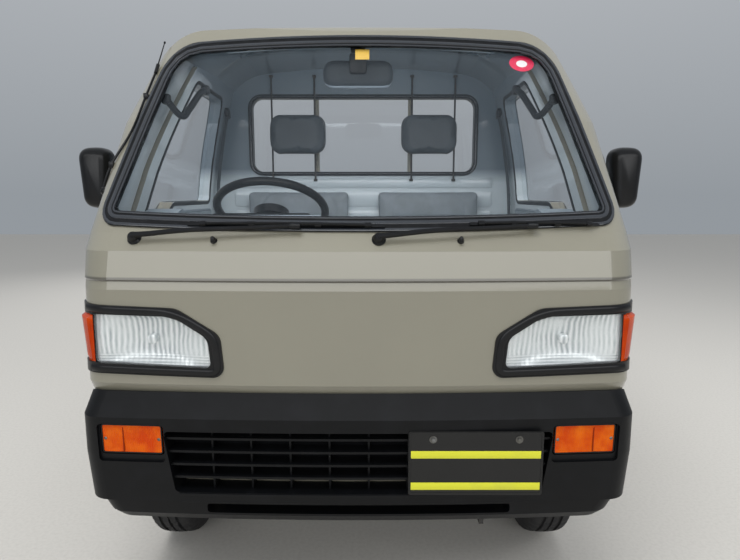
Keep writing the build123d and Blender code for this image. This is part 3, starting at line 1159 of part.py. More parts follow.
# Wheels: pressed rims in tyres; the front ones turn on knuckles
RIM_SEAT = 152.0
RIM_HALF = 58.0
BULGE_RADIUS = 215.0                 # where the tyre is widest
SHOULDER = (252.0, 62.0)             # radius and half width at the top of the sidewall
TREAD_EDGE = (266.0, 48.0)
RIM_WELL = 132.0
BORE_RADIUS = SPINDLE_RADIUS + FIT
HUB_OUT = 24.0
VENT_CIRCLE = 113.0
VENT_RADIUS = 10.0
for axle_name, station in (("front", FRONT_AXLE), ("rear", REAR_AXLE)):
    for name, side in SIDES:
        centre = Vector(side * WHEEL_X, y_at(station), TYRE_RADIUS)
        spin = Axis(centre, Vector(side, 0, 0))
        # Half section of the wheel: first the radius, then the distance outwards
        section = Plane(origin=centre, x_dir=(0, 0, 1), z_dir=(0, side, 0))
        with BuildPart() as tyre:
            with BuildSketch(section):
                with BuildLine():
                    for edge in (-1, 1):
                        shoulder = (SHOULDER[0], edge * SHOULDER[1])
                        tread_edge = (TREAD_EDGE[0], edge * TREAD_EDGE[1])
                        turn = ((SHOULDER[0] + TREAD_EDGE[0]) / 2 + 3, edge * ((SHOULDER[1] + TREAD_EDGE[1]) / 2 + 2))
                        ThreePointArc((RIM_SEAT, edge * RIM_HALF), (BULGE_RADIUS, edge * TYRE_WIDTH / 2), shoulder)
                        ThreePointArc(shoulder, turn, tread_edge)
                    ThreePointArc((TREAD_EDGE[0], -TREAD_EDGE[1]), (TYRE_RADIUS, 0), TREAD_EDGE)
                    Line((RIM_SEAT, RIM_HALF), (RIM_SEAT, -RIM_HALF))
                make_face()
            revolve(axis=spin)
        keep(tyre, f"tyre_{axle_name}_{name}")
        with BuildPart() as rim:
            with BuildSketch(section):
                with BuildLine():
                    Polyline((RIM_SEAT, -RIM_HALF), (RIM_SEAT, RIM_HALF), (RIM_SEAT - 8, RIM_HALF + 2),
                             (RIM_SEAT - 8, 40), (RIM_WELL, 26), (RIM_WELL, -26), (RIM_SEAT - 8, -40),
                             (RIM_SEAT - 8, -RIM_HALF - 2), close=True)
                make_face()
                with BuildLine():
                    Polyline((BORE_RADIUS, 0), (BORE_RADIUS, HUB_OUT), (44, HUB_OUT), (60, HUB_OUT - 6),
                             (96, HUB_OUT + 4), (RIM_WELL + 2, 12), (RIM_WELL + 2, 2), (94, HUB_OUT - 6), (60, 6),
                             (44, 0), close=True)
                make_face()
            revolve(axis=spin)
            with BuildSketch(Plane(origin=centre, z_dir=(side, 0, 0)).offset(-20)):
                with PolarLocations(VENT_CIRCLE, 8):
                    Circle(VENT_RADIUS)
            extrude(amount=70, mode=Mode.SUBTRACT)
        keep(rim, f"rim_{axle_name}_{name}")

for name, side in SIDES:
    with BuildPart() as knuckle:
        with Locations((side * KINGPIN_X, y_at(FRONT_AXLE), (KINGPIN_FOOT + KINGPIN_TOP) / 2)):
            Cylinder(22, KINGPIN_TOP - KINGPIN_FOOT)
        with Locations((side * (KINGPIN_X + SPINDLE_END) / 2, y_at(FRONT_AXLE), TYRE_RADIUS)):
            Cylinder(SPINDLE_RADIUS, SPINDLE_END - KINGPIN_X, rotation=(0, 90, 0))
        with Locations((side * (KINGPIN_X + 36), y_at(FRONT_AXLE), TYRE_RADIUS)):
            Cylinder(DRUM_RADIUS, 12, rotation=(0, 90, 0))
    keep(knuckle, f"knuckle_{name}")

for piece in pieces:
    export_step(piece.part, f"parts/{piece.part.label}.step")
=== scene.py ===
"""A small cab-over pickup with drop sides: finishes, soft goods and small parts round the fixed frame."""

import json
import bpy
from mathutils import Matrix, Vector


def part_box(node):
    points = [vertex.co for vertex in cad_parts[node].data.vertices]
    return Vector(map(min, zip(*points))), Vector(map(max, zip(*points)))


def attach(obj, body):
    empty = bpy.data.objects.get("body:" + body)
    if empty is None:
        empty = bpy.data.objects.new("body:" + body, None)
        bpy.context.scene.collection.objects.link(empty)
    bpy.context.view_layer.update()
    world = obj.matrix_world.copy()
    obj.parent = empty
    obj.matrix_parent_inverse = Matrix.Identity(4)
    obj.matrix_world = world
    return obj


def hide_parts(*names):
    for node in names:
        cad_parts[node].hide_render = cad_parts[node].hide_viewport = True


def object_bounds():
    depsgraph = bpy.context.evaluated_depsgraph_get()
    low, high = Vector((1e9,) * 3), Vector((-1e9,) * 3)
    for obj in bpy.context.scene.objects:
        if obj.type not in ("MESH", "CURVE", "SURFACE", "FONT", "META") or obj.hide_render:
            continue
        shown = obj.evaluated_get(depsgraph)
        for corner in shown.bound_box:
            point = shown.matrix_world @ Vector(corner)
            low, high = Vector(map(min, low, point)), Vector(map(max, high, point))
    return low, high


bl_info = {
    "name": "Cab-over mini pickup",
    "version": (1, 0, 0),
    "blender": (4, 5, 0),
    "location": "View3D > Sidebar > Pickup",
    "description": "Dresses the pickup's frame with paint, glass, trim, seats, tyres and a studio",
    "category": "Add Mesh",
}

from math import atan2, cos, hypot, pi, radians, sin

import bmesh
import bpy
from bpy.props import FloatProperty, FloatVectorProperty, IntProperty, PointerProperty
from mathutils import Matrix, Vector
from mathutils.bvhtree import BVHTree
from mathutils.geometry import delaunay_2d_cdt

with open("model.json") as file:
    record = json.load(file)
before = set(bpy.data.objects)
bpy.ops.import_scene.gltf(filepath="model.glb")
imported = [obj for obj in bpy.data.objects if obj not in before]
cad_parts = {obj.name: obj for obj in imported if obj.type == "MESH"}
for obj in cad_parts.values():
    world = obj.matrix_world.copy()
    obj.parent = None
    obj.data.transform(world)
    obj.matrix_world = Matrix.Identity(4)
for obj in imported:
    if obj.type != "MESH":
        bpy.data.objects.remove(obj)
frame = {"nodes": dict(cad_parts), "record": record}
NODES = frame["nodes"]
CAD_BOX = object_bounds()
LENGTH = CAD_BOX[1].y - CAD_BOX[0].y
SIDES = (("left", 1), ("right", -1))
AXLES = (("front", 580), ("rear", 2480))
SLOTS = {part["node"]: part["material_slot"] for part in frame["record"]["subparts"]}
BODY_OF = {node: body for body, nodes in frame["record"]["behaviour"]["bodies"].items() for node in nodes}
MM = 0.001


def y_at(station):
    """Y in metres of a place this many millimetres behind the front of the bumper."""
    return station * MM - LENGTH / 2


def place(x, station, z):
    """A point from X, station and height in millimetres."""
    return Vector((x * MM, y_at(station), z * MM))


# Finishes


def linear(code):
    """An sRGB hex value as a linear colour with full alpha; a colour from the sidebar is linear already."""
    if not isinstance(code, str):
        return tuple(code)
    levels = [int(code[i:i + 2], 16) / 255 for i in (1, 3, 5)]
    levels = [level / 12.92 if level <= 0.04045 else ((level + 0.055) / 1.055) ** 2.4 for level in levels]
    return (*levels, 1.0)


def colour_choice(name, description, code):
    return FloatVectorProperty(name=name, description=description, subtype="COLOR", size=4, min=0.0, max=1.0,
                               default=linear(code))


def length_choice(name, description, metres, low, high):
    return FloatProperty(name=name, description=description, default=metres, min=low, max=high,
                         subtype="DISTANCE", unit="LENGTH")


class PickupColours(bpy.types.PropertyGroup):
    """The pickup's colours"""
    body: colour_choice("Body paint", "Outer paint of the cab, the bed and its gates", "#7E7B6D")
    lining: colour_choice("Inner paint", "Paint of the steel that shows inside the cab", "#BFCBD1")
    # Painted shade: this colour darkens the roof's inside and the rear pillars and rear wall above the belt, as
    # the shade under the roof.
    upper: colour_choice("Roof shade", "Roof lining and rear pillars inside the cab", "#5B6974")
    plastic: colour_choice("Bumper", "Grained plastic of the bumper and its grille", "#0A0B0D")
    seats: colour_choice("Seat vinyl", "Vinyl of the cushions and backs", "#6C757B")
    dash: colour_choice("Cab plastic", "Moulded lining, dashboard and door linings", "#7E8A93")
    amber: colour_choice("Amber lenses", "Turn lamps and side markers", "#C43E00")
    wheels: colour_choice("Wheel paint", "Silver of the pressed wheels", "#B9BBBC")
    floor: colour_choice("Studio floor", "Plain floor under the pickup", "#C6C3BD")


class PickupSizes(bpy.types.PropertyGroup):
    """The pickup's sizes and the studio's settings"""
    bead: length_choice("Window bead", "How far the rear window's bead stands out", 0.0024, 0.001, 0.006)
    crown: length_choice("Seat crown", "How far the filling may push a seat cushion out", 0.011, 0.002, 0.02)
    aerial: length_choice("Aerial", "Radius of the aerial's lower tube", 0.0032, 0.002, 0.006)
    front_light: FloatProperty(name="Front light", description="Power of the high light ahead of the pickup",
                               default=165.0, min=0.0, subtype="POWER", unit="POWER")
    lens: FloatProperty(name="Camera lens", description="Focal length of the camera, in millimetres",
                        default=27.53, min=10.0, max=200.0, unit="CAMERA")


def add_node(tree, kind, inputs=None, **settings):
    """Adds one shader node; inputs holds a value or a socket for each named or numbered input."""
    made = tree.nodes.new("ShaderNode" + kind)
    for name, value in settings.items():
        setattr(made, name, value)
    for name, value in (inputs or {}).items():
        if isinstance(value, bpy.types.NodeSocket):
            tree.links.new(value, made.inputs[name])
        else:
            made.inputs[name].default_value = value
    return made


def new_material(name):
    """An empty material: its tree, and the object coordinates in metres."""
    material = bpy.data.materials.new(name)
    material.use_nodes = True
    tree = material.node_tree
    tree.nodes.clear()
    return material, tree, add_node(tree, "TexCoord").outputs["Object"]


def finish_material(material, inputs):
    """Adds the material's shader with these inputs and joins it to the output."""
    shader = add_node(material.node_tree, "BsdfPrincipled", inputs)
    add_node(material.node_tree, "OutputMaterial", {"Surface": shader.outputs[0]})
    return material


def per_metre(millimetres):
    """Texture scale whose pattern repeats about once in this many millimetres."""
    return 1.0 / (millimetres * MM)


def waves_of(millimetres):
    """Wave texture scale whose bands are this far apart."""
    return 2 * pi / (20.0 * millimetres * MM)


def between(tree, value, low, high):
    """0 at low and 1 at high, with an even rise or fall from the one to the other."""
    return add_node(tree, "MapRange", {"Value": value, "From Min": low, "From Max": high}).outputs[0]


def combine(tree, first, second, operation="MULTIPLY"):
    return add_node(tree, "Math", {0: first, 1: second}, operation=operation).outputs[0]


def speckle(tree, where, size_mm, low, high, detail=3.0):
    """A factor from 0 to 1 of soft noise, size_mm across, between the low and high thresholds."""
    noise = add_node(tree, "TexNoise", {"Vector": where, "Scale": per_metre(size_mm), "Detail": detail})
    return between(tree, noise.outputs["Fac"], low, high)


def blend_colours(tree, factor, first, second):
    """The colour between two others; each is a colour or a socket."""
    return add_node(tree, "Mix", {0: factor, 6: first, 7: second}, data_type="RGBA").outputs[2]


def grain_normal(tree, where, size_mm, height_mm, detail=4.0):
    """A bumped normal of fine grain, size_mm across and height_mm high."""
    noise = add_node(tree, "TexNoise", {"Vector": where, "Scale": per_metre(size_mm), "Detail": detail})
    bump = add_node(tree, "Bump", {"Height": noise.outputs["Fac"], "Distance": height_mm * MM,
                                   "Strength": 1.0})
    return bump.outputs["Normal"]


CAB_MIDDLE = place(0, 800, 1050)


def inside_cab(tree, where):
    """1 on faces that look towards the middle of the cab, within its length, and 0 elsewhere."""
    normal = tree.nodes["Texture Coordinate"].outputs["Normal"]
    from_middle = add_node(tree, "VectorMath", {0: where, 1: CAB_MIDDLE}, operation="SUBTRACT").outputs[0]
    along = add_node(tree, "VectorMath", {0: from_middle}, operation="NORMALIZE").outputs[0]
    facing = add_node(tree, "VectorMath", {0: along, 1: normal}, operation="DOT_PRODUCT").outputs["Value"]
    inner = between(tree, facing, -0.03, -0.08)
    length = add_node(tree, "SeparateXYZ", {"Vector": where}).outputs["Y"]
    return combine(tree, inner, combine(tree, length, y_at(1262), "LESS_THAN"))


def roof_shade_mask(tree, where):
    """1 on the roof's inside and on what stands behind the doors above the belt, where shade under the roof is
    painted, and 0 elsewhere.
    """
    spot = add_node(tree, "SeparateXYZ", {"Vector": where})
    above_belt = between(tree, spot.outputs["Z"], 1.205, 1.265)
    behind_doors = between(tree, spot.outputs["Y"], y_at(600), y_at(760))
    roof = between(tree, spot.outputs["Z"], 1.50, 1.56)
    return combine(tree, combine(tree, above_belt, behind_doors), roof, "MAXIMUM")


def groove_shade_mask(tree, where):
    """1 in the groove of the pressed line that crosses the front over the waist, where shade is painted, and 0
    elsewhere.
    """
    spot = add_node(tree, "SeparateXYZ", {"Vector": where})
    foot = between(tree, spot.outputs["Z"], 0.944, 0.946)
    head = between(tree, spot.outputs["Z"], 0.957, 0.953)
    ahead = combine(tree, spot.outputs["Y"], y_at(110), "LESS_THAN")
    return combine(tree, combine(tree, foot, head), ahead)


def sprayed_paint(name, code, lining, upper):
    # Two-pack polyurethane over steel: a flat greige under clear gloss, with a faint orange peel about 3 mm
    # across, a little road dust, and a dark band of painted shade in the groove across the front. Faces that
    # look into the cab have the grey-blue inner paint, painted darker as shade over the roof's inside and over
    # the rear pillars and rear wall above the belt.
    material, tree, where = new_material(name)
    dust = speckle(tree, where, 240, 0.3, 0.9, 6.0)
    outer = blend_colours(tree, dust, linear(code), linear("#827F70"))
    # Painted shade: the groove across the front is painted darker than the body paint.
    outer = blend_colours(tree, groove_shade_mask(tree, where), outer, linear("#504D44"))
    inner = blend_colours(tree, dust, linear(lining), linear("#AEBBC3"))
    # Painted shade: the inner paint is darkened over the roof's inside and above the belt behind the doors.
    inner = blend_colours(tree, roof_shade_mask(tree, where), inner, linear(upper))
    colour = blend_colours(tree, inside_cab(tree, where), outer, inner)
    return finish_material(material, {
        "Base Color": colour, "Roughness": 0.4, "IOR": 1.5, "Coat Weight": 1.0, "Coat Roughness": 0.05,
        "Coat Normal": grain_normal(tree, where, 9.0, 0.012, 1.0)})


def moulded_plastic(name, code, size_mm, height_mm, roughness, dusty, gloss=0.5):
    # Polypropylene or ABS out of a spark-eroded mould: an even fine grain that breaks the shine into a soft
    # sheen, paler where dust sits in the grain.
    material, tree, where = new_material(name)
    dust = speckle(tree, where, 60, 0.5, 0.9)
    colour = blend_colours(tree, dust, linear(code), linear(dusty))
    return finish_material(material, {
        "Base Color": colour, "Roughness": roughness, "IOR": 1.49, "Specular IOR Level": gloss,
        "Normal": grain_normal(tree, where, size_mm, height_mm)})


def extruded_rubber():
    # EPDM rubber, extruded: deep black with a low waxy sheen and faint flow lines.
    material, tree, where = new_material("EPDM rubber, extruded")
    bloom = speckle(tree, where, 25, 0.5, 0.85)
    colour = blend_colours(tree, bloom, linear("#0D0E10"), linear("#1A1C1F"))
    return finish_material(material, {
        "Base Color": colour, "Roughness": 0.45, "IOR": 1.52, "Specular IOR Level": 0.25,
        "Normal": grain_normal(tree, where, 1.5, 0.02)})


def tempered_glass(name="tempered glass, float", veil="#BCC7CF", clear=0.05, grazing=0.9, metallic=1.0):
    # Tempered float glass: a faint cool tint straight through, and more sky on it towards its edges.
    material, tree, where = new_material(name)
    facing = add_node(tree, "LayerWeight", {"Blend": 0.5}).outputs["Facing"]
    edge = combine(tree, facing, 5.0, "POWER")
    film = add_node(tree, "MapRange", {"Value": edge, "To Min": clear, "To Max": grazing}).outputs["Result"]
    haze = speckle(tree, where, 600, 0.3, 0.9, 1.0)
    colour = blend_colours(tree, haze, linear(veil), linear("#C9D3DA"))
    return finish_material(material, {
        "Base Color": colour, "Metallic": metallic, "Roughness": 0.03, "Alpha": film})


def moulded_lens(name, code, pale):
    # Acrylic lens, moulded: glossy skin over a deep even colour, with rows of small prisms inside.
    material, tree, where = new_material(name)
    flutes = add_node(tree, "TexWave", {"Vector": where, "Scale": waves_of(6.0), "Distortion": 0.0},
                      bands_direction="X")
    bump = add_node(tree, "Bump", {"Height": flutes.outputs["Fac"], "Distance": 0.4 * MM, "Strength": 0.6})
    colour = blend_colours(tree, speckle(tree, where, 40, 0.35, 0.75), linear(code), linear(pale))
    return finish_material(material, {
        "Base Color": colour, "Roughness": 0.22, "IOR": 1.4, "Specular IOR Level": 0.15,
        "Coat Weight": 0.1, "Coat Roughness": 0.05, "Normal": bump.outputs["Normal"]})


def plated_steel(name, code, roughness):
    # Steel with a bright or painted metallic finish: even, with fine wear.
    material, tree, where = new_material(name)
    worn = speckle(tree, where, 30, 0.5, 0.8)
    colour = blend_colours(tree, worn, linear(code), linear("#8D8F90"))
    return finish_material(material, {
        "Base Color": colour, "Metallic": 0.9, "Roughness": roughness,
        "Normal": grain_normal(tree, where, 2.0, 0.01)})


def fluted_reflector():
    # Aluminised plastic behind a pressed lens, with painted reflections: bright, broken into upright streaks 13
    # mm apart as the lens's prisms would show it, and into level bars along its foot.
    material, tree, where = new_material("aluminised reflector, seen through prisms")
    spot = add_node(tree, "SeparateXYZ", {"Vector": where})
    wavy = {"Vector": where, "Scale": waves_of(13.0), "Distortion": 5.0, "Detail": 2.0, "Detail Scale": 0.5}
    # Painted reflection: the streaks and bars are light and dark bands painted into the colour.
    streaks = add_node(tree, "TexWave", wavy, bands_direction="X").outputs["Fac"]
    bars = add_node(tree, "TexWave", {"Vector": where, "Scale": waves_of(7.0), "Distortion": 0.3},
                    bands_direction="Z").outputs["Fac"]
    foot = between(tree, spot.outputs["Z"], 0.765, 0.757)
    upright = blend_colours(tree, streaks, linear("#9DA6A7"), linear("#FBFCFC"))
    level = blend_colours(tree, bars, linear("#A3ABAD"), linear("#F4F6F6"))
    colour = blend_colours(tree, foot, upright, level)
    # Painted reflection: broad lighter patches across the reflector's bowl.
    colour = blend_colours(tree, speckle(tree, where, 60, 0.35, 0.7, 3.0), colour, linear("#E9EDEC"))
    bump = add_node(tree, "Bump", {"Height": streaks, "Distance": 1.2 * MM, "Strength": 0.5})
    return finish_material(material, {
        "Base Color": colour, "Metallic": 0.45, "Roughness": 0.3, "Normal": bump.outputs["Normal"]})


def underbody_paint():
    # Chassis black over rolled steel: satin, with grey dust on it and the odd rust bloom.
    material, tree, where = new_material("chassis black over rolled steel")
    dust = speckle(tree, where, 45, 0.4, 0.75, 6.0)
    rust = speckle(tree, where, 26, 0.62, 0.72, 5.0)
    colour = blend_colours(tree, dust, linear("#1C1C1D"), linear("#3B3935"))
    colour = blend_colours(tree, rust, colour, linear("#4A372B"))
    return finish_material(material, {
        "Base Color": colour, "Roughness": 0.55, "Normal": grain_normal(tree, where, 4.0, 0.08)})


def cast_aluminium():
    # Sand-cast aluminium and iron: dull grey with a pebbled skin.
    material, tree, where = new_material("sand-cast metal")
    oil = speckle(tree, where, 50, 0.45, 0.7, 5.0)
    colour = blend_colours(tree, oil, linear("#7C7D7C"), linear("#4B4844"))
    return finish_material(material, {
        "Base Color": colour, "Metallic": 0.75, "Roughness": 0.55,
        "Normal": grain_normal(tree, where, 2.5, 0.15)})


def seat_vinyl(name, code, worn):
    # Expanded vinyl over foam: soft leather-like grain about 2 mm across.
    material, tree, where = new_material(name)
    cells = add_node(tree, "TexVoronoi", {"Vector": where, "Scale": per_metre(2.6)},
                     feature="DISTANCE_TO_EDGE").outputs["Distance"]
    bump = add_node(tree, "Bump", {"Height": cells, "Distance": 0.25 * MM, "Strength": 0.6})
    colour = blend_colours(tree, speckle(tree, where, 70, 0.4, 0.8), linear(code), linear(worn))
    return finish_material(material, {
        "Base Color": colour, "Roughness": 0.55, "IOR": 1.5, "Normal": bump.outputs["Normal"]})


def tyre_rubber():
    # Vulcanised tyre rubber: blue-black, matt, with dust ground into it.
    material, tree, where = new_material("tyre rubber, vulcanised")
    dust = speckle(tree, where, 18, 0.45, 0.8, 5.0)
    colour = blend_colours(tree, dust, linear("#1B1B1D"), linear("#2F2E2D"))
    return finish_material(material, {
        "Base Color": colour, "Roughness": 0.72, "Normal": grain_normal(tree, where, 1.2, 0.05)})


MATERIALS = {}


def make_finishes(colours):
    """One material for each slot of the frame's record, and the finishes that only small parts have."""
    MATERIALS.update({
        "body_paint": sprayed_paint("two-pack polyurethane paint, sprayed", colours.body, colours.lining,
                                    colours.upper),
        "cab_lining": moulded_plastic("polypropylene lining, moulded", colours.dash, 1.6, 0.06, 0.6,
                                      "#8B969F"),
        "chassis_paint": underbody_paint(),
        "bumper_plastic": moulded_plastic("polypropylene bumper, grained", colours.plastic, 1.4, 0.05, 0.44,
                                          "#121316", 0.22),
        "trim_plastic": moulded_plastic("ABS trim, satin black", "#0B0C0E", 1.0, 0.02, 0.3, "#141518", 0.35),
        "seal_rubber": extruded_rubber(),
        "window_glass": tempered_glass(),
        "lamp_glass": tempered_glass("pressed lamp glass", "#F1F6F7", 0.12, 0.8, 0.0),
        "amber_lens": moulded_lens("acrylic lens, amber", colours.amber, "#DE690A"),
        "amber_deep": moulded_lens("acrylic lens, deep amber", "#7E2200", "#8F2C02"),
        # Painted shade: the marker lenses are the turn lamps' amber, painted darker as if in shade.
        "marker_amber_shaded": moulded_lens("acrylic lens, marker amber", "#A83000", "#BC4204"),
        "red_lens": moulded_lens("acrylic lens, red", "#A80E0A", "#C2201A"),
        "plate_metal": moulded_plastic("plate enamel, black", "#08090A", 3.0, 0.01, 0.25, "#0E0F10"),
        "seat_vinyl": seat_vinyl("expanded vinyl, embossed", colours.seats, "#79828A"),
        "wheel_paint": plated_steel("wheel silver over pressed steel", colours.wheels, 0.4),
        "tyre_rubber": tyre_rubber(),
        "bare_steel": plated_steel("rolled steel, weathered", "#8A8178", 0.5),
        "cast_metal": cast_aluminium(),
        "rest_vinyl": seat_vinyl("expanded vinyl, smooth", "#3A4147", "#424A51"),
        "rim_plastic": moulded_plastic("polyurethane skin, grained", "#1A1D21", 1.6, 0.05, 0.45, "#24282C"),
        "reflector": fluted_reflector(),
        "nut_steel": plated_steel("zinc-plated steel, dulled", "#6D6C68", 0.42),
        "mirror_silver": plated_steel("silvered glass", "#D5DBDF", 0.04),
        "plate_yellow": moulded_plastic("plate enamel, yellow", "#D2D231", 3.0, 0.01, 0.35, "#C4C43A"),
        "sticker_red": moulded_plastic("printed vinyl film, red", "#D8244E", 3.0, 0.005, 0.4, "#CC3A5C"),
        "sticker_white": moulded_plastic("printed vinyl film, white", "#E7E5E2", 3.0, 0.005, 0.4, "#D9D7D4"),
        "bead_vinyl": moulded_plastic("vinyl bead, extruded", "#22262C", 1.2, 0.01, 0.24, "#2B3036", 0.9),
        "sticker_amber": moulded_plastic("printed vinyl film, amber", "#DDB548", 3.0, 0.005, 0.4, "#D2AC4E"),
        "housing_grey": moulded_plastic("ABS housing, grey", "#3E464D", 1.2, 0.02, 0.5, "#4A5259", 0.3),
        "belt_web": moulded_plastic("polyester webbing, woven", "#3A4045", 1.2, 0.15, 0.75, "#474E54"),
    })


def coat(obj, slot):
    """Gives a piece this finish."""
    obj.data.materials.clear()
    obj.data.materials.append(MATERIALS[slot])


# Shapes: small builders that add to a bmesh, in metres


def add_block(bm, middle, size, bevel=0.0, turn=None, steps=2):
    """Adds a block with rounded edges."""
    corners = bmesh.ops.create_cube(bm, size=1.0)["verts"]
    matrix = Matrix.Translation(middle) @ (turn or Matrix.Identity(4)) @ Matrix.Diagonal((*size, 1.0))
    bmesh.ops.transform(bm, matrix=matrix, verts=corners)
    if bevel:
        edges = {edge for corner in corners for edge in corner.link_edges}
        bmesh.ops.bevel(bm, geom=list(edges), offset=bevel, segments=steps, profile=0.5, affect="EDGES")


def bridge(bm, rings, closed=False):
    """Joins rings of points, all of one length, into a skin with capped ends, or into a loop."""
    rows = [[bm.verts.new(point) for point in ring] for ring in rings]
    count = len(rows[0])
    last = len(rows) if closed else len(rows) - 1
    for i in range(last):
        first, second = rows[i], rows[(i + 1) % len(rows)]
        for j in range(count):
            k = (j + 1) % count
            bm.faces.new((first[j], first[k], second[k], second[j]))
    if not closed:
        bm.faces.new(list(reversed(rows[0])))
        bm.faces.new(rows[-1])


def frame_of(direction):
    """Two directions square to this one."""
    direction = direction.normalized()
    first = direction.orthogonal().normalized()
    return first, direction.cross(first)


def add_lathe(bm, base, direction, profile, steps=24):
    """Turns a profile of (distance along the axis, radius) pairs, in mm, round an axis."""
    direction = Vector(direction).normalized()
    first, second = frame_of(direction)
    rings = []
    for along, radius in profile:
        centre = base + direction * along * MM
        rings.append([centre + (first * cos(turn) + second * sin(turn)) * max(radius, 0.05) * MM
                      for turn in (2 * pi * i / steps for i in range(steps))])
    bridge(bm, rings)


def smooth_path(points, per=6):
    """Points along a smooth curve through the given ones, per of them to each stretch."""
    points = [Vector(point) for point in points]
    last = len(points) - 1
    path = []
    for i in range(last):
        p0, p1, p2, p3 = points[max(i - 1, 0)], points[i], points[i + 1], points[min(i + 2, last)]
        for step in range(per):
            t = step / per
            path.append(0.5 * (2 * p1 + (p2 - p0) * t + (2 * p0 - 5 * p1 + 4 * p2 - p3) * t * t
                               + (3 * p1 - p0 - 3 * p2 + p3) * t ** 3))
    return path + [points[-1]]


def add_tube(bm, points, radius, sides=10, closed=False, flat=1.0):
    """A round or flattened bar of this radius, in mm, along points; radius may be a list."""
    count = len(points)
    radii = radius if isinstance(radius, (list, tuple)) else [radius] * count
    up = None
    rings = []
    for i, point in enumerate(points):
        before = points[i - 1] if i or closed else points[0]
        after = points[(i + 1) % count] if i < count - 1 or closed else points[-1]
        along = (after - before).normalized()
        up = along.orthogonal().normalized() if up is None else (up - along * up.dot(along)).normalized()
        across = along.cross(up)
        rings.append([point + (up * cos(turn) * flat + across * sin(turn)) * radii[i] * MM
                      for turn in (2 * pi * j / sides for j in range(sides))])
    bridge(bm, rings, closed)


def add_sweep(bm, points, outs, section, closed=False):
    """Sweeps a section of (across, out) pairs, in mm, along points; outs is the way out, or one for each."""
    count = len(points)
    outs = outs if isinstance(outs, list) else [Vector(outs)] * count
    rings = []
    for i, point in enumerate(points):
        before = points[i - 1] if i or closed else points[0]
        after = points[(i + 1) % count] if i < count - 1 or closed else points[-1]
        along = (after - before).normalized()
        out = (outs[i] - along * outs[i].dot(along)).normalized()
        across = along.cross(out)
        rings.append([point + (across * a + out * b) * MM for a, b in section])
    bridge(bm, rings, closed)


def add_bead(bm, spots, section, closed=False):
    """Sweeps a section along spots, each a point and its way out."""
    add_sweep(bm, [spot[0] for spot in spots], [spot[1] for spot in spots], section, closed)


def add_rivet(bm, spot, way):
    add_lathe(bm, spot, way, [(0, 0), (0, 4), (1.6, 3.6), (2, 0)], 8)


def round_corners(corners, radius, steps=6):
    """A closed outline of (x, z) pairs with its corners rounded; radius may be a list."""
    reaches = radius if isinstance(radius, (list, tuple)) else [radius] * len(corners)
    outline = []
    for i, corner in enumerate(corners):
        here = Vector(corner)
        back, ahead = Vector(corners[i - 1]) - here, Vector(corners[(i + 1) % len(corners)]) - here
        reach = min(reaches[i], back.length * 0.45, ahead.length * 0.45)
        start, end = here + back.normalized() * reach, here + ahead.normalized() * reach
        for step in range(steps + 1):
            t = step / steps
            outline.append(start * (1 - t) ** 2 + here * 2 * t * (1 - t) + end * t * t)
    return outline


def rounded_box(x0, x1, z0, z1, radius, steps):
    """A rectangle's outline with its four corners rounded."""
    return round_corners([(x0, z0), (x1, z0), (x1, z1), (x0, z1)], radius, steps)


def moved_outline(outline, distance):
    """A closed outline moved outwards, to the right of its direction."""
    moved = []
    for i, here in enumerate(outline):
        along = (outline[(i + 1) % len(outline)] - outline[i - 1]).normalized()
        moved.append(here + Vector((along.y, -along.x)) * distance)
    return moved


def stand_at(outline, station):
    """An outline of (x, z) pairs stood up at this station."""
    return [place(x, station, z) for x, z in outline]


def half_round(wide, high, steps=5):
    """The section of a bead: (across, out) pairs over a half ellipse."""
    return [(wide * cos(turn), high * sin(turn)) for turn in (pi * k / steps for k in range(steps + 1))]


def spread_along(outline, spacing):
    """The same closed outline with its points this far apart."""
    dense = []
    for i, start in enumerate(outline):
        end = outline[(i + 1) % len(outline)]
        parts = max(1, round((end - start).length / spacing))
        dense += [start.lerp(end, k / parts) for k in range(parts)]
    return dense


def skin_tree(*names):
    """The surfaces of these nodes, for casting rays at them."""
    points, faces = [], []
    for name in names:
        mesh = NODES[name].data
        start = len(points)
        points += [vertex.co.copy() for vertex in mesh.vertices]
        faces += [[start + index for index in face.vertices] for face in mesh.polygons]
    return BVHTree.FromPolygons(points, faces)


def hit(tree, start, direction):
    """Where a ray meets a surface: the point and the way out there. Rays that slip through are nudged."""
    start, direction = Vector(start), Vector(direction)
    first, second = frame_of(direction)
    for nudge in (0.0, 0.4, 1.0, 2.0, 4.0, 7.0):
        for turn in (0.3, 2.4, 4.5):
            aside = (first * cos(turn) + second * sin(turn)) * nudge * MM
            point, normal, _, _ = tree.ray_cast(start + aside, direction)
            if point is not None:
                return point - aside, normal if normal.dot(direction) < 0 else -normal
    raise RuntimeError(f"No surface ahead of {tuple(start)}")


def from_front(tree, x, z):
    return hit(tree, (x * MM, y_at(-400), z * MM), (0, 1, 0))


def front_of(tree):
    """The surface of these nodes as a function of x and z."""
    return lambda x, z: from_front(tree, x, z)


def from_side(tree, side, station, z):
    return hit(tree, (side * 1.2, y_at(station), z * MM), (-side, 0, 0))


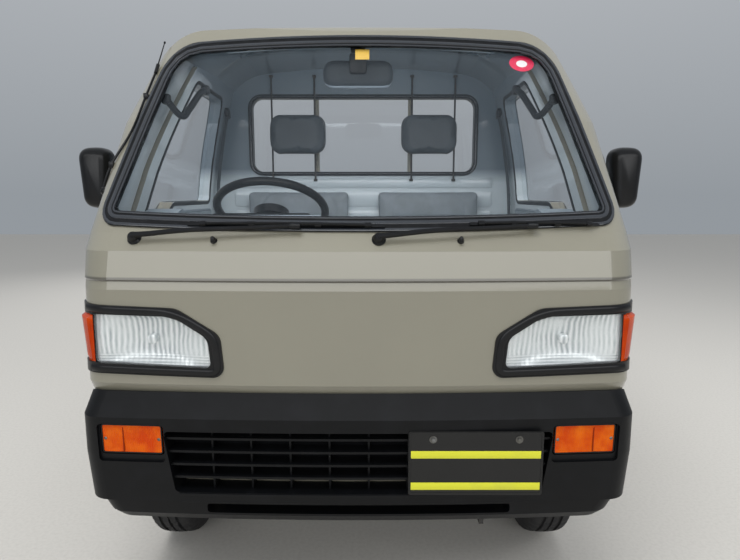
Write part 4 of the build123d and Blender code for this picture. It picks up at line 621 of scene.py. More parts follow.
def add_patch(bm, surface, outline, lift, depth, spacing=14.0, relief=None):
    """A piece of a surface inside an outline of (x, z) in mm: lift above it and depth thick."""
    outline = spread_along(outline, spacing)
    xs, zs = [p[0] for p in outline], [p[1] for p in outline]
    flat = [Vector(p) for p in outline]
    closeness = spacing * 0.6
    x = min(xs) + spacing / 2
    while x < max(xs):
        z = min(zs) + spacing / 2
        while z < max(zs):
            spot = Vector((x, z))
            if inside_outline(spot, outline) and min((spot - p).length for p in outline) > closeness:
                flat.append(spot)
            z += spacing
        x += spacing
    edges = [(i, (i + 1) % len(outline)) for i in range(len(outline))]
    made = delaunay_2d_cdt(flat, edges, [], 1, 0.001)
    tops, feet = [], []
    for spot in made[0]:
        point, out = surface(spot[0], spot[1])
        rise = lift + (relief(spot[0], spot[1]) if relief else 0.0)
        tops.append(bm.verts.new(point + out * rise * MM))
        feet.append(bm.verts.new(point + out * (lift - depth) * MM))
    for face in made[2]:
        bm.faces.new([tops[i] for i in face])
        bm.faces.new([feet[i] for i in reversed(face)])
    rim = {}
    for face in made[2]:
        for i, j in zip(face, face[1:] + face[:1]):
            rim[(i, j)] = rim.get((i, j), 0) + 1
    for i, j in rim:
        if (j, i) not in rim:
            bm.faces.new((tops[j], tops[i], feet[i], feet[j]))


def inside_outline(spot, outline):
    inside = False
    for i, a in enumerate(outline):
        b = outline[i - 1]
        if (a[1] > spot[1]) != (b[1] > spot[1]):
            crossing = (b[0] - a[0]) * (spot[1] - a[1]) / (b[1] - a[1]) + a[0]
            if spot[0] < crossing:
                inside = not inside
    return inside


def make_piece(name, bm, slot, body="root", replaces=(), sharp=35.0):
    """Turns a bmesh into a piece that rides on a body, smooth but for its sharp edges."""
    bmesh.ops.recalc_face_normals(bm, faces=bm.faces)
    mesh = bpy.data.meshes.new(name)
    bm.to_mesh(mesh)
    bm.free()
    mesh.polygons.foreach_set("use_smooth", [True] * len(mesh.polygons))
    mesh.set_sharp_from_angle(angle=radians(sharp))
    obj = bpy.data.objects.new(name, mesh)
    bpy.context.scene.collection.objects.link(obj)
    coat(obj, slot)
    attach(obj, body)
    if replaces:
        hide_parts(*replaces)
    return obj


class FrameFinishOperator(bpy.types.Operator):
    """Paints every piece of the frame with its own finish"""
    bl_idname = "pickup.frame_finish"
    bl_label = "Paint the frame"

    def execute(self, context):
        make_finishes(context.scene.pickup_colours)
        for name, obj in NODES.items():
            obj.data.materials.clear()
            obj.data.materials.append(MATERIALS[SLOTS[name]])
        return {"FINISHED"}


# The front: windshield edge, wipers, lamps, plate, mirrors and aerial


def shield_edge(inset):
    """The windshield opening's outline in the front view, moved in by inset mm."""
    foot = [Vector((x, 1063 + 16 * (x / 656) ** 2)) for x in range(-600, 601, 60)]
    corner = [Vector((599.8 + 46 * cos(turn), 1122.5 + 46 * sin(turn)))
              for turn in (radians(degree) for degree in (-68, -48, -28, -8))]
    side = [Vector((644.8, 1132)).lerp(Vector((572, 1478)), t / 6) for t in range(7)]
    turn = [Vector(p) for p in ((562, 1512), (537, 1553), (502, 1578), (460, 1590))]
    head = [Vector((x, 1606 - 16 * (x / 460) ** 2)) for x in range(400, -401, -80)]
    half = corner + side + turn
    outline = foot + half + head + [Vector((-p.x, p.y)) for p in reversed(half)]
    return moved_outline(outline, -inset)


SEAL_PROUD = 4.0


class ShieldTrimOperator(bpy.types.Operator):
    """Lays the locking beads in the rubber of the windshield and of the rear window"""
    bl_idname = "pickup.shield_trim"
    bl_label = "Window beads"

    def execute(self, context):
        rubber = skin_tree("window_seals")
        bead = context.scene.pickup_sizes.bead / MM
        bm = bmesh.new()
        for inset, width, height in ((5.0, 4.5, 3.0), (22.0, 5.5, 2.4), (33.0, 2.6, 1.6)):
            spots = [from_front(rubber, *spot) for spot in shield_edge(inset)]
            section = half_round(width, height) + [(-width, -2.0), (width, -2.0)]
            add_bead(bm, spots, section, closed=True)
        outline = rounded_box(-491.0, 491.0, 1245.0, 1573.0, 52, 8)
        for station, out in ((1233.0 - SEAL_PROUD, -1), (1265.0 + SEAL_PROUD, 1)):
            add_sweep(bm, stand_at(outline, station), (0, out, 0), half_round(4.0, bead), closed=True)
        make_piece("window_beads", bm, "bead_vinyl")
        return {"FINISHED"}


# Wipers, parked: pivot, tip of the arm, ends of the blade, as (x, z)
WIPERS = (
    ("right", (-543.0, 1046.0), (-150.0, 1070.0), (-415.0, 1078.0), (65.0, 1074.0)),
    ("left", (50.0, 1045.0), (420.0, 1070.0), (271.0, 1079.0), (591.0, 1076.0)),
)
NOZZLES = (-346.0, 246.0)


class WiperOperator(bpy.types.Operator):
    """Builds the two wipers and the washer nozzles on the cowl"""
    bl_idname = "pickup.wipers"
    bl_label = "Wipers"

    def execute(self, context):
        skin = skin_tree("window_seals", "windshield", "front_panel")

        def above(start, end, t, lift):
            x, z = start[0] + (end[0] - start[0]) * t, start[1] + (end[1] - start[1]) * t
            point, out = from_front(skin, x, z)
            base, _ = from_front(skin, x, 1044.0)
            rise = max(0.0, base.y - point.y)
            return point + out * lift * MM + Vector((0, rise * 0.4, 0))

        for name, pivot, arm_tip, blade_start, blade_end in WIPERS:
            bm = bmesh.new()
            hub, out = from_front(skin, *pivot)
            add_lathe(bm, hub - out * 0.004, out,
                      [(0, 0), (0, 17), (6, 17), (10, 13), (17, 12.5), (22, 9), (23, 0)])
            lifts = ((0, 18), (0.1, 19), (0.35, 24), (0.7, 21), (1, 17))
            path = smooth_path([above(pivot, arm_tip, t, lift) for t, lift in lifts], 5)
            last = len(path) - 1
            section = ((-7.5, -3), (7.5, -3), (7.0, 1.5), (4.5, 3.8), (-4.5, 3.8), (-7.0, 1.5))
            rings = []
            for i, point in enumerate(path):
                before, after = path[max(i - 1, 0)], path[min(i + 1, last)]
                along = (after - before).normalized()
                side = along.cross(out).normalized()
                up = side.cross(along)
                w = 1.0 - 0.45 * i / last
                rings.append([point + (side * a * w + up * b * (0.7 + 0.3 * w)) * MM for a, b in section])
            bridge(bm, rings)
            blade = [above(blade_start, blade_end, t / 12, 0.0) for t in range(13)]
            add_sweep(bm, blade, out,
                      [(-1.4, -1.0), (1.4, -1.0), (2.6, 5.5), (4.2, 6.5), (-4.2, 6.5), (-2.6, 5.5)])
            spine = [point + out * (9.0 + 5.0 * sin(pi * i / 12)) * MM for i, point in enumerate(blade)]
            add_sweep(bm, spine[1:-1], out, [(-3.4, -1.6), (3.4, -1.6), (2.4, 1.8), (-2.4, 1.8)])
            for i in (1, 4, 8, 11):
                along = (blade[i + 1] - blade[i - 1]).normalized()
                turn = Matrix((along, out.cross(along), out)).transposed().to_4x4()
                add_block(bm, blade[i] + out * 0.0085, (0.016, 0.011, 0.009), 0.0015, turn)
            add_block(bm, path[-1] - out * 0.002, (0.026, 0.013, 0.012), 0.003)
            make_piece(f"wiper_{name}", bm, "trim_plastic", replaces=("wipers",))
        bm = bmesh.new()
        panel = skin_tree("front_panel")
        for x in NOZZLES:
            base, out = from_front(panel, x, 1042)
            add_lathe(bm, base - out * 0.002, out,
                      [(0, 0), (0, 9), (3, 8.5), (6, 6), (14, 5.5), (17, 4), (17.5, 0)], 14)
            add_block(bm, base + out * 0.013 - Vector((0, 0, 0.004)), (0.009, 0.008, 0.013), 0.002)
        make_piece("washer_nozzles", bm, "trim_plastic")
        return {"FINISHED"}


# The headlamp's lens in the front view, with the rounding of its corners, and the middle of its bulb
LAMP = [(-651.0, 743.0), (-651.0, 864.0), (-446.3, 860.0), (-365.0, 807.4), (-359.0, 734.0)]
LAMP_ROUNDING = (8.0, 8.0, 19.0, 17.0, 13.0)
LAMP_MIDDLE = (-508.0, 800.0)
# The middle of the bezel's band, which runs from the corner of the cab round the lamp and back
BEZEL = [(-700.0, 729.0), (-700.0, 879.5), (-442.0, 871.5), (-347.5, 812.0), (-341.5, 720.5)]
BEZEL_ROUNDING = (4.0, 4.0, 52.0, 30.0, 22.0)
BEZEL_END = -668.0


class HeadlampOperator(bpy.types.Operator):
    """Builds the fluted lenses of the headlamps over their bright reflectors"""
    bl_idname = "pickup.headlamps"
    bl_label = "Headlamps"

    def execute(self, context):
        skin = skin_tree("headlamps")
        outline = round_corners(LAMP, LAMP_ROUNDING, 6)

        def flutes(x, z):
            # Curved upright prisms, with level bars under them
            bar_pitch, bar_deep, prism_pitch, prism_deep = 7.0, 1.1, 14.0, 0.8
            if z < 760:
                return bar_deep * abs(sin(pi * (z - 742) / bar_pitch)) - bar_deep
            bend = 0.012 * (z - 780) ** 2
            return prism_deep * sin(2 * pi * (x + bend) / prism_pitch) - prism_deep

        def bowl(x, z):
            dx, dz = (x - LAMP_MIDDLE[0]) / 128, (z - LAMP_MIDDLE[1]) / 60
            return -20.0 * max(0.0, 1.0 - dx * dx) * max(0.0, 1.0 - dz * dz) ** 0.5

        lens, rear = bmesh.new(), bmesh.new()
        add_patch(lens, front_of(skin), outline, -1.0, 4.0, 4.0, flutes)
        add_patch(rear, front_of(skin), outline, -8.0, 22.5, 8.0, bowl)
        point, out = from_front(skin, *LAMP_MIDDLE)
        add_lathe(rear, point - out * 0.026, out,
                  [(0, 0), (0, 13), (6, 12), (14, 12), (15.5, 9), (16, 0)], 18)
        for bm in (lens, rear):
            twins = bmesh.ops.duplicate(bm, geom=bm.verts[:] + bm.edges[:] + bm.faces[:])["geom"]
            verts = [item for item in twins if isinstance(item, bmesh.types.BMVert)]
            bmesh.ops.scale(bm, vec=(-1, 1, 1), verts=verts)
        beads = bmesh.new()
        skin = skin_tree("headlamp_bezels")
        middle = [p for p in spread_along(round_corners(BEZEL, BEZEL_ROUNDING, 8), 7.0) if p[0] > BEZEL_END]
        half = [(9.5, -1), (9.0, 0.8), (6.5, 2.4), (2.5, 3.3)]
        section = [(-9.5, -1)] + half + [(-across, out) for across, out in half[:0:-1]]
        for side in (-1, 1):
            add_bead(beads, [from_front(skin, -side * x, z) for x, z in middle], section)
        make_piece("headlamp_beads", beads, "trim_plastic", sharp=50)
        make_piece("headlamp_lenses", lens, "lamp_glass", replaces=("headlamps",))
        make_piece("headlamp_reflectors", rear, "reflector", replaces=("headlamps",), sharp=50)
        return {"FINISHED"}


class GrilleOperator(bpy.types.Operator):
    """Hangs a dark sheet behind the grille as painted shade, and adds the lip along its foot"""
    bl_idname = "pickup.grille"
    bl_label = "Grille sheet"

    def execute(self, context):
        sheet = bmesh.new()
        wall = skin_tree("front_panel")
        outline = [Vector(p) for p in ((-478, 420), (478, 420), (478, 572), (-478, 572))]
        # Painted shade: a dark sheet on the front panel stands for the shade behind the grille.
        add_patch(sheet, front_of(wall), outline, 2.5, 2.0, 40.0)
        make_piece("grille_shade_sheet", sheet, "bumper_plastic")
        lip = bmesh.new()
        skin = skin_tree("front_bumper")
        add_bead(lip, [from_front(skin, x, 410.0) for x in range(-448, 449, 56)],
                 [(-4, -1), (4, -1), (3, 2.6), (0, 3.4), (-3, 2.6)])
        make_piece("grille_lip", lip, "bumper_plastic")
        return {"FINISHED"}


# The marker lens wraps the corner of the cab round this axis, between two heights and two angles
MARKER_AXIS = (600, 140)
MARKER_FOOT, MARKER_HIGH = 744.5, 117.0
MARKER_START, MARKER_ARC = 17, 44
MARKER_RISES = 15
MARKER_STEPS = 12


class LampTrimOperator(bpy.types.Operator):
    """Adds the fluted lenses, gaskets and screws of the amber lamps"""
    bl_idname = "pickup.lamp_trim"
    bl_label = "Amber lamps' trim"

    def execute(self, context):
        lenses, rims, screws, bars, markers = (bmesh.new() for _ in range(5))

        def face(x, z):
            station = 23.6 + 0.066 * (abs(x) - 492) + 0.044 * (552 - z)
            return place(x, station, z), Vector((x * 0.00011, -1, 0.04))

        def ribs(x, z):
            cell = abs(abs(x) - 589) < 2.0
            return -0.8 if cell else 0.45 * sin(2 * pi * z / 6.5) - 0.45

        for side in (-1, 1):
            x0, z0, wide, high = side * 562.0, 552.0, 151.0, 73.0
            outline = rounded_box(x0 - wide / 2, x0 + wide / 2, z0 - high / 2, z0 + high / 2, 6, 4)
            add_patch(lenses, face, outline, 1.0, 6.0, 3.4, ribs)
            add_bead(rims, [face(*spot) for spot in spread_along(outline, 24)],
                     [(-1.8, -1), (1.8, -1), (1.2, 2.3), (-1.2, 2.3)], closed=True)
            for dx in (-68, 68):
                point, out = face(x0 + dx, z0)
                add_lathe(screws, point - out * 0.001, out,
                          [(0, 0), (0, 4.2), (2.2, 4.0), (3.2, 2.6), (3.3, 0)], 14)
            middle, out = face(x0 + side * 22.0, z0)
            add_block(bars, middle + out * 0.0012, (0.0035, 0.0012, 0.066), 0.0004)
        corner = skin_tree("amber_lamps", "headlamp_bezels")

        def shoulder(t):
            return min(1.0, (1.0 - abs(2 * t - 1)) / 0.12) ** 0.5

        for side in (-1, 1):
            rings = []
            for row in range(MARKER_RISES):
                up = row / (MARKER_RISES - 1)
                centre = place(side * MARKER_AXIS[0], MARKER_AXIS[1], MARKER_FOOT + MARKER_HIGH * up)
                bulge = (2.0 + 9.5 * up) * shoulder(up)
                shown, hidden = [], []
                for step in range(MARKER_STEPS + 1):
                    turn = radians(MARKER_START + MARKER_ARC * step / MARKER_STEPS)
                    ray = Vector((side * cos(turn), -sin(turn), 0))
                    point, _ = hit(corner, centre + ray * 0.3, -ray)
                    shown.append(point + ray * (0.4 + bulge * shoulder(step / MARKER_STEPS)) * MM)
                    hidden.append(point - ray * MM)
                rings.append(shown + hidden[::-1])
            bridge(markers, rings)
        # The marker lenses get the amber painted darker as shade.
        make_piece("marker_lenses", markers, "marker_amber_shaded")
        make_piece("turn_lamp_lenses", lenses, "amber_lens", sharp=60)
        make_piece("turn_lamp_bars", bars, "amber_deep")
        make_piece("turn_lamp_rims", rims, "trim_plastic")
        make_piece("turn_lamp_screws", screws, "nut_steel")
        return {"FINISHED"}


class PlateOperator(bpy.types.Operator):
    """Adds the two yellow bands, the rolled edge and the bolts to the blank front plate"""
    bl_idname = "pickup.plate"
    bl_label = "Front plate"

    def execute(self, context):
        bands, bolts, edge = bmesh.new(), bmesh.new(), bmesh.new()
        for height in (523.0, 441.0):
            add_block(bands, place(288, -0.3, height), (0.318, 0.0012, 0.019), 0.0004)
        for x in (183.0, 393.0):
            base = place(x, 0.0, 562)
            add_lathe(bolts, base, (0, -1, 0), [(0, 0), (0, 9.5), (1.4, 9.2), (1.5, 0)], 24)
            add_lathe(bolts, base, (0, -1, 0), [(1.4, 6.2), (5.4, 6.2), (6.6, 5.0), (6.7, 0)], 6)
        outline = rounded_box(127, 449, 421.5, 578.5, 7, 4)
        add_sweep(edge, stand_at(outline, 0.0), (0, -1, 0),
                  [(-2.6, -0.6), (2.6, -0.6), (1.8, 0.9), (-1.8, 0.9)], closed=True)
        make_piece("plate_bands", bands, "plate_yellow")
        make_piece("plate_bolts", bolts, "nut_steel")
        make_piece("plate_edge", edge, "plate_metal")
        return {"FINISHED"}


class StickerOperator(bpy.types.Operator):
    """Sticks the two blank stickers inside the head of the windshield"""
    bl_idname = "pickup.stickers"
    bl_label = "Blank stickers"

    def execute(self, context):
        skin = skin_tree("windshield")

        def disc(x, z, wide, high):
            return [(x + wide * cos(2 * pi * k / 28), z + high * sin(2 * pi * k / 28)) for k in range(28)]

        square = [(-13, 1534), (27, 1534), (27, 1566), (-13, 1566)]
        for name, slot, lift, thick, outline in (
                ("sticker_square", "sticker_amber", -5.2, 0.4, square),
                ("sticker_round", "sticker_red", -5.2, 0.4, disc(463, 1526, 36, 25)),
                ("sticker_round_middle", "sticker_white", -5.0, 0.3, disc(463, 1525, 16, 11))):
            bm = bmesh.new()
            add_patch(bm, front_of(skin), [Vector(p) for p in outline], lift, thick, 9.0)
            make_piece(name, bm, slot)
        return {"FINISHED"}


MIRROR_X, MIRROR_MIDDLE, MIRROR_BACK = 818.0, 1204.0, 511.0
# The housing from its rim to its domed front: station, and how far its edge is moved in
MIRROR_RINGS = ((MIRROR_BACK, 2.5), (509.5, 0.5), (488.0, 0.0), (472.0, 2.0), (461.0, 6.5), (453.5, 14.0),
                (449.6, 25.0))


class MirrorOperator(bpy.types.Operator):
    """Builds the domed housings of the door mirrors, with their stays, glasses and boots"""
    bl_idname = "pickup.mirrors"
    bl_label = "Mirrors"

    def execute(self, context):
        for name, side in SIDES:
            shell, glass, trim = bmesh.new(), bmesh.new(), bmesh.new()
            foot, head = MIRROR_MIDDLE - 93, MIRROR_MIDDLE + 93
            inner, outer = side * (MIRROR_X - 50), side * (MIRROR_X + 52)
            corners = [(inner + side * 8, foot), (outer - side * 12, foot), (outer, head), (inner, head)]
            corners = corners if side > 0 else corners[::-1]
            outline = round_corners(corners, 44, 9)
            bridge(shell, [stand_at(moved_outline(outline, -inset), station)
                           for station, inset in MIRROR_RINGS])
            base, elbow = place(side * 699, 350, 1090), place(side * 778, 460, 1141)
            bend = place(side * 800, 478, 1160)
            add_tube(shell, smooth_path([base, base.lerp(elbow, 0.6), elbow, bend], 5), 8.0, 14)
            add_block(shell, place(side * 704, 350, 1090), (0.016, 0.070, 0.044), 0.006, steps=3)
            pane = moved_outline(outline, -9.0)
            bridge(glass, [stand_at(pane, MIRROR_BACK - 1), stand_at(pane, MIRROR_BACK + 1.6)])
            add_sweep(trim, stand_at(moved_outline(outline, -5.0), MIRROR_BACK), (0, 1, 0),
                      [(-3, -1), (3, -1), (2, 3.2), (-2, 3.2)], closed=True)
            along = (elbow - base).normalized()
            for spot, scale in ((base + along * 0.010, 1.0), (elbow - along * 0.016, 0.85)):
                add_lathe(trim, spot, along,
                          [(0, 8), (0, 15 * scale), (6, 15 * scale), (9, 12 * scale), (12, 14 * scale),
                           (15, 11.5 * scale), (20, 10 * scale), (20, 8)], 18)
            body = BODY_OF[f"mirror_{name}"]
            make_piece(f"mirror_housing_{name}", shell, "trim_plastic", body, replaces=(f"mirror_{name}",))
            make_piece(f"mirror_glass_{name}", glass, "mirror_silver", body)
            make_piece(f"mirror_trim_{name}", trim, "seal_rubber", body)
        return {"FINISHED"}


# The aerial up the pillar from its foot, as (station, z), then the tip of its free rod, as (x, station, z)
AERIAL = ((224, 1162), (232, 1228), (258, 1318), (330, 1420), (392, 1498))
AERIAL_TIP = (-584, 470, 1600)


class AerialOperator(bpy.types.Operator):
    """Runs the aerial up the right-hand windshield pillar"""
    bl_idname = "pickup.aerial"
    bl_label = "Aerial"

    def execute(self, context):
        bm = bmesh.new()
        pillar = skin_tree("cab_sides", "door_right", "front_panel")
        points = []
        for spot in AERIAL:
            point, out = from_side(pillar, -1, *spot)
            points.append(point + out * 5.0 * MM)
        path = smooth_path(points, 6)
        add_tube(bm, path, context.scene.pickup_sizes.aerial / MM, 10)
        tip = place(*AERIAL_TIP)
        joint = points[-1]
        along = (tip - joint).normalized()
        add_tube(bm, [joint - along * 0.006, joint + along * 0.03], 5.0, 12)
        add_tube(bm, [joint, joint.lerp(tip, 0.5), tip], [2.2, 1.9, 1.6], 8)
        add_lathe(bm, tip - along * 0.001, along, [(0, 0), (0, 2.8), (3, 3.4), (6, 2.4), (7, 0)], 10)
        point, out = from_side(pillar, -1, *AERIAL[0])
        add_lathe(bm, point - out * 0.001, out, [(0, 0), (0, 13), (4, 12), (9, 8), (11, 0)], 18)
        for spot in (points[1], points[3]):
            add_block(bm, spot - Vector((-0.001, 0, 0)), (0.013, 0.012, 0.016), 0.002)
        make_piece("aerial", bm, "trim_plastic")
        return {"FINISHED"}


# The cab's inside

DRIVER_X = -292.0

PAD_SHRINK = 5.0
PAD_PRESSURE = 4.0


def pad_from(node):
    """The left half of a soft node, drawn in along its faces' directions so that the filling has room."""
    bm = bmesh.new()
    bm.from_mesh(NODES[node].data)
    bmesh.ops.remove_doubles(bm, verts=bm.verts, dist=1e-5)
    bmesh.ops.delete(bm, geom=[v for v in bm.verts if v.co.x < 0], context="VERTS")
    bmesh.ops.recalc_face_normals(bm, faces=bm.faces)
    bm.normal_update()
    moves = [vertex.normal.copy() for vertex in bm.verts]
    for vertex, move in zip(bm.verts, moves):
        vertex.co -= move * PAD_SHRINK * MM
    return bm


def swell(name, bm, voxel, cap, limits):
    """Blows a closed pad up with the cloth simulation; no point moves further than cap mm or past limits."""
    mesh = bpy.data.meshes.new(name)
    bm.to_mesh(mesh)
    bm.free()
    obj = bpy.data.objects.new(name, mesh)
    scene = bpy.context.scene
    scene.collection.objects.link(obj)
    remesh = obj.modifiers.new("even mesh", "REMESH")
    remesh.mode = "VOXEL"
    remesh.voxel_size = voxel * MM
    take_shape(obj)
    start = [vertex.co.copy() for vertex in obj.data.vertices]
    cloth = obj.modifiers.new("filling", "CLOTH")
    cloth.settings.use_pressure = True
    cloth.settings.uniform_pressure_force = PAD_PRESSURE
    cloth.settings.effector_weights.gravity = 0.0
    cloth.settings.quality = 5
    for step in range(1, 21):
        scene.frame_set(step)
    take_shape(obj)
    scene.frame_set(1)
    low, high = limits
    for vertex, home in zip(obj.data.vertices, start):
        move = vertex.co - home
        if move.length > cap * MM:
            vertex.co = home + move.normalized() * cap * MM
        for axis in range(3):
            vertex.co[axis] = min(max(vertex.co[axis], low[axis]), high[axis])
    return obj


def sew(obj, channels, depth, reach):
    """Presses sewn channels into a pad; channels gives a point's distance in mm to the nearest seam."""
    mesh = obj.data
    moves = []
    for vertex in mesh.vertices:
        away = channels(vertex.co)
        if away is None or away > reach:
            moves.append(0.0)
        else:
            moves.append(depth * MM * (0.5 + 0.5 * cos(pi * away / reach)))
    directions = [vertex.normal.copy() for vertex in mesh.vertices]
    for vertex, move, direction in zip(mesh.vertices, moves, directions):
        vertex.co -= direction * move


def take_shape(obj):
    """Gives an object the mesh that its modifiers make of it, and clears them."""
    shaped = bpy.data.meshes.new_from_object(obj.evaluated_get(bpy.context.evaluated_depsgraph_get()))
    obj.modifiers.clear()
    obj.data = shaped


def finish_pad(obj, twin_name, slot, node):
    """Smooths a pad, makes its mirrored twin, and gives both their finish and the root body."""
    smooth = obj.modifiers.new("smooth skin", "SUBSURF")
    smooth.levels = smooth.render_levels = 1
    take_shape(obj)
    obj.data.polygons.foreach_set("use_smooth", [True] * len(obj.data.polygons))
    bm = bmesh.new()
    bm.from_mesh(obj.data)
    bmesh.ops.scale(bm, vec=(-1, 1, 1), verts=bm.verts)
    bmesh.ops.reverse_faces(bm, faces=bm.faces)
    twin_mesh = bpy.data.meshes.new(twin_name)
    bm.to_mesh(twin_mesh)
    bm.free()
    twin = bpy.data.objects.new(twin_name, twin_mesh)
    bpy.context.scene.collection.objects.link(twin)
    for piece in (obj, twin):
        coat(piece, slot)
        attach(piece, "root")
        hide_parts(node)
    return obj, twin


class SeatOperator(bpy.types.Operator):
    """Pads the seats: two cushions, two backs and two head rests"""
    bl_idname = "pickup.seats"
    bl_label = "Seats"

    def execute(self, context):
        foot = 0.6505
        crown = context.scene.pickup_sizes.crown / MM
        cushion = swell("seat_cushion_left", pad_from("seat_cushions"), 9.0, crown,
                        ((0.030, y_at(690), foot), (0.512, y_at(1131), 0.790)))

        def cushion_seams(co):
            if co.z < 0.72:
                return abs(co.z - 0.690) / MM if co.z > 0.67 else None
            x, s = (co.x - 0.280) / MM, (co.y - y_at(915)) / MM
            edge = min(abs(abs(x) - 150), abs(s - 130) if abs(x) < 150 else 999.0)
            return min(edge, *(abs(s - line) if abs(x) < 150 else 999.0 for line in (-100, -25, 50)))

        sew(cushion, cushion_seams, 5.0, 11.0)
        finish_pad(cushion, "seat_cushion_right", "seat_vinyl", "seat_cushions")
        back = swell("seat_back_left", pad_from("seat_backs"), 8.0, 9.0,
                     ((0.050, y_at(1131.5), foot), (0.510, y_at(1232.5), 1.186)))

        def back_seams(co):
            x, z = abs(co.x - 0.280) / MM, co.z / MM
            if co.y > y_at(1185):
                return None
            edge = abs(x - 158) if z < 1096 else abs(hypot(x, (z - 1096) * 1.6) - 158)
            return min(edge, *(abs(z - line) if x < 158 else 999.0 for line in (790, 880, 970, 1060)))

        sew(back, back_seams, 4.0, 10.0)
        finish_pad(back, "seat_back_right", "seat_vinyl", "seat_backs")
        rest = swell("head_rest_left", pad_from("head_rests"), 6.5, 8.0,
                     ((0.150, y_at(1140), 1.30), (0.412, y_at(1214.5), 1.505)))
        finish_pad(rest, "head_rest_right", "rest_vinyl", "head_rests")
        piping = bmesh.new()
        for side in (-1, 1):
            points = []
            for x, z in rounded_box(side * 280 - 104, side * 280 + 106, 1336, 1480, 46, 8):
                away = Vector((x - side * 281, 0, z - 1408)).normalized()
                points.append(place(x + away.x * 11.5, 1181, z + away.z * 8.5))
            add_tube(piping, points, 2.6, 8, closed=True)
        make_piece("head_rest_piping", piping, "rest_vinyl")
        return {"FINISHED"}


class DashOperator(bpy.types.Operator):
    """Dresses the dashboard: vents, dials, switches, radio panel and tray"""
    bl_idname = "pickup.dash"
    bl_label = "Dashboard"

    def execute(self, context):
        dark, pale, needles = bmesh.new(), bmesh.new(), bmesh.new()
        top = skin_tree("dashboard")
        for x in (-500, -140, 140, 500):
            for row in range(5):
                point, out = hit(top, (x * MM, y_at(110 + row * 11), 1.3), (0, 0, -1))
                turn = Matrix.Rotation(radians(6), 4, "X")
                add_block(dark, point + Vector((0, 0, 0.0008)), (0.150, 0.005, 0.003), 0.0008, turn)
        for x, z, wide, high in ((-8, 985, 170, 52), (-8, 915, 170, 40), (360, 975, 210, 20),
                                 (-520, 985, 90, 60), (540, 985, 90, 60)):
            point, out = hit(top, (x * MM, y_at(600), z * MM), (0, -1, 0))
            add_block(dark, point + out * 0.001, (wide * MM, 0.008, high * MM), 0.002)
            for row in range(int(high / 14)):
                add_block(pale, point + Vector((0, 0.0055, (row * 14 - high / 2 + 12) * MM)),
                          ((wide - 24) * MM, 0.004, 0.004), 0.001)
        point, out = hit(top, (DRIVER_X * MM, y_at(600), 1.045), (0, -1, 0))
        add_block(dark, point + Vector((0, 0.001, 0.004)), (0.300, 0.006, 0.098), 0.012)
        for dx, radius in ((-62, 40), (48, 34), (116, 20)):
            middle = point + Vector((dx * MM, 0.004, 0.004))
            add_lathe(dark, middle, (0, 1, 0),
                      [(0, 0), (0, radius), (3, radius), (3, radius - 3), (1, radius - 4), (1, 0)], 32)

            def on_dial(degrees, reach, lift):
                turn = radians(degrees)
                spot = middle + Vector((cos(turn), 0, sin(turn))) * reach * MM + Vector((0, lift, 0))
                return spot, Matrix.Rotation(-turn, 4, "Y")

            for tick in range(11):
                spot, turn = on_dial(225 - 27 * tick, radius - 9, 0.0018)
                add_block(pale, spot, (0.006, 0.001, 0.0012), 0.0, turn)
            spot, turn = on_dial(205, (radius - 16) * 0.5, 0.0024)
            add_block(needles, spot, ((radius - 12) * MM, 0.001, 0.0018), 0.0, turn)
        make_piece("dash_panels", dark, "trim_plastic")
        make_piece("dash_marks", pale, "sticker_white")
        make_piece("dash_needles", needles, "amber_lens")
        pad, lever = bmesh.new(), bmesh.new()
        centre = place(DRIVER_X, 560, 1103)
        axis = Vector((0, sin(radians(31)), cos(radians(31))))
        hub = centre - axis * 0.012
        add_lathe(pad, hub - axis * 0.008, axis,
                  [(0, 0), (0, 50), (5, 52), (9, 49), (12, 36), (13.5, 18), (14, 0)], 36)
        make_piece("horn_pad", pad, "rim_plastic", "steering")
        for side in (1, -1):
            base = centre - axis * 0.098 + Vector((side * 0.05, 0, 0))
            tip = base + Vector((side * 0.118, 0, 0.006))
            add_tube(lever, smooth_path([base, base.lerp(tip, 0.5), tip], 4),
                     [5, 4.6, 4.3, 4.2, 4.2, 4.6, 5.4, 6.4, 7.0])
        add_lathe(lever, centre - axis * 0.130, axis,
                  [(0, 0), (0, 43), (50, 45), (66, 38), (70, 20), (70, 0)], 28)
        make_piece("column_shroud", lever, "rim_plastic")
        stick = bmesh.new()
        path = [place(*spot) for spot in ((-10, 655, 413), (-10, 660, 520), (-20, 690, 680), (-24, 712, 752))]
        add_tube(stick, smooth_path(path, 5), 6.5, 12)
        add_lathe(stick, place(-24, 714, 748), (0, 0.25, 1),
                  [(0, 0), (0, 11), (8, 17), (24, 21), (36, 18), (42, 8), (43, 0)], 20)
        add_lathe(stick, place(-10, 655, 412), (0, 0, 1),
                  [(0, 0), (0, 62), (8, 60), (14, 46), (26, 42), (30, 30), (44, 27), (48, 17), (64, 12),
                   (64, 0)], 24)
        make_piece("gear_lever", stick, "rim_plastic")
        return {"FINISHED"}


# A sun visor's section, as (station, drop under the ceiling)
VISOR = ((500, 10), (505, 7), (560, 7), (628, 8), (634, 12), (628, 17), (560, 17), (505, 16))
INNER_MIRROR = (-7, 480, 1513)
# Its housing from the rim to the domed front: station, and how far its edge is moved in
INNER_MIRROR_RINGS = ((500, 2.5), (498.6, 0.5), (490, 0), (482, 2), (476, 7), (472.6, 15), (471.4, 25))


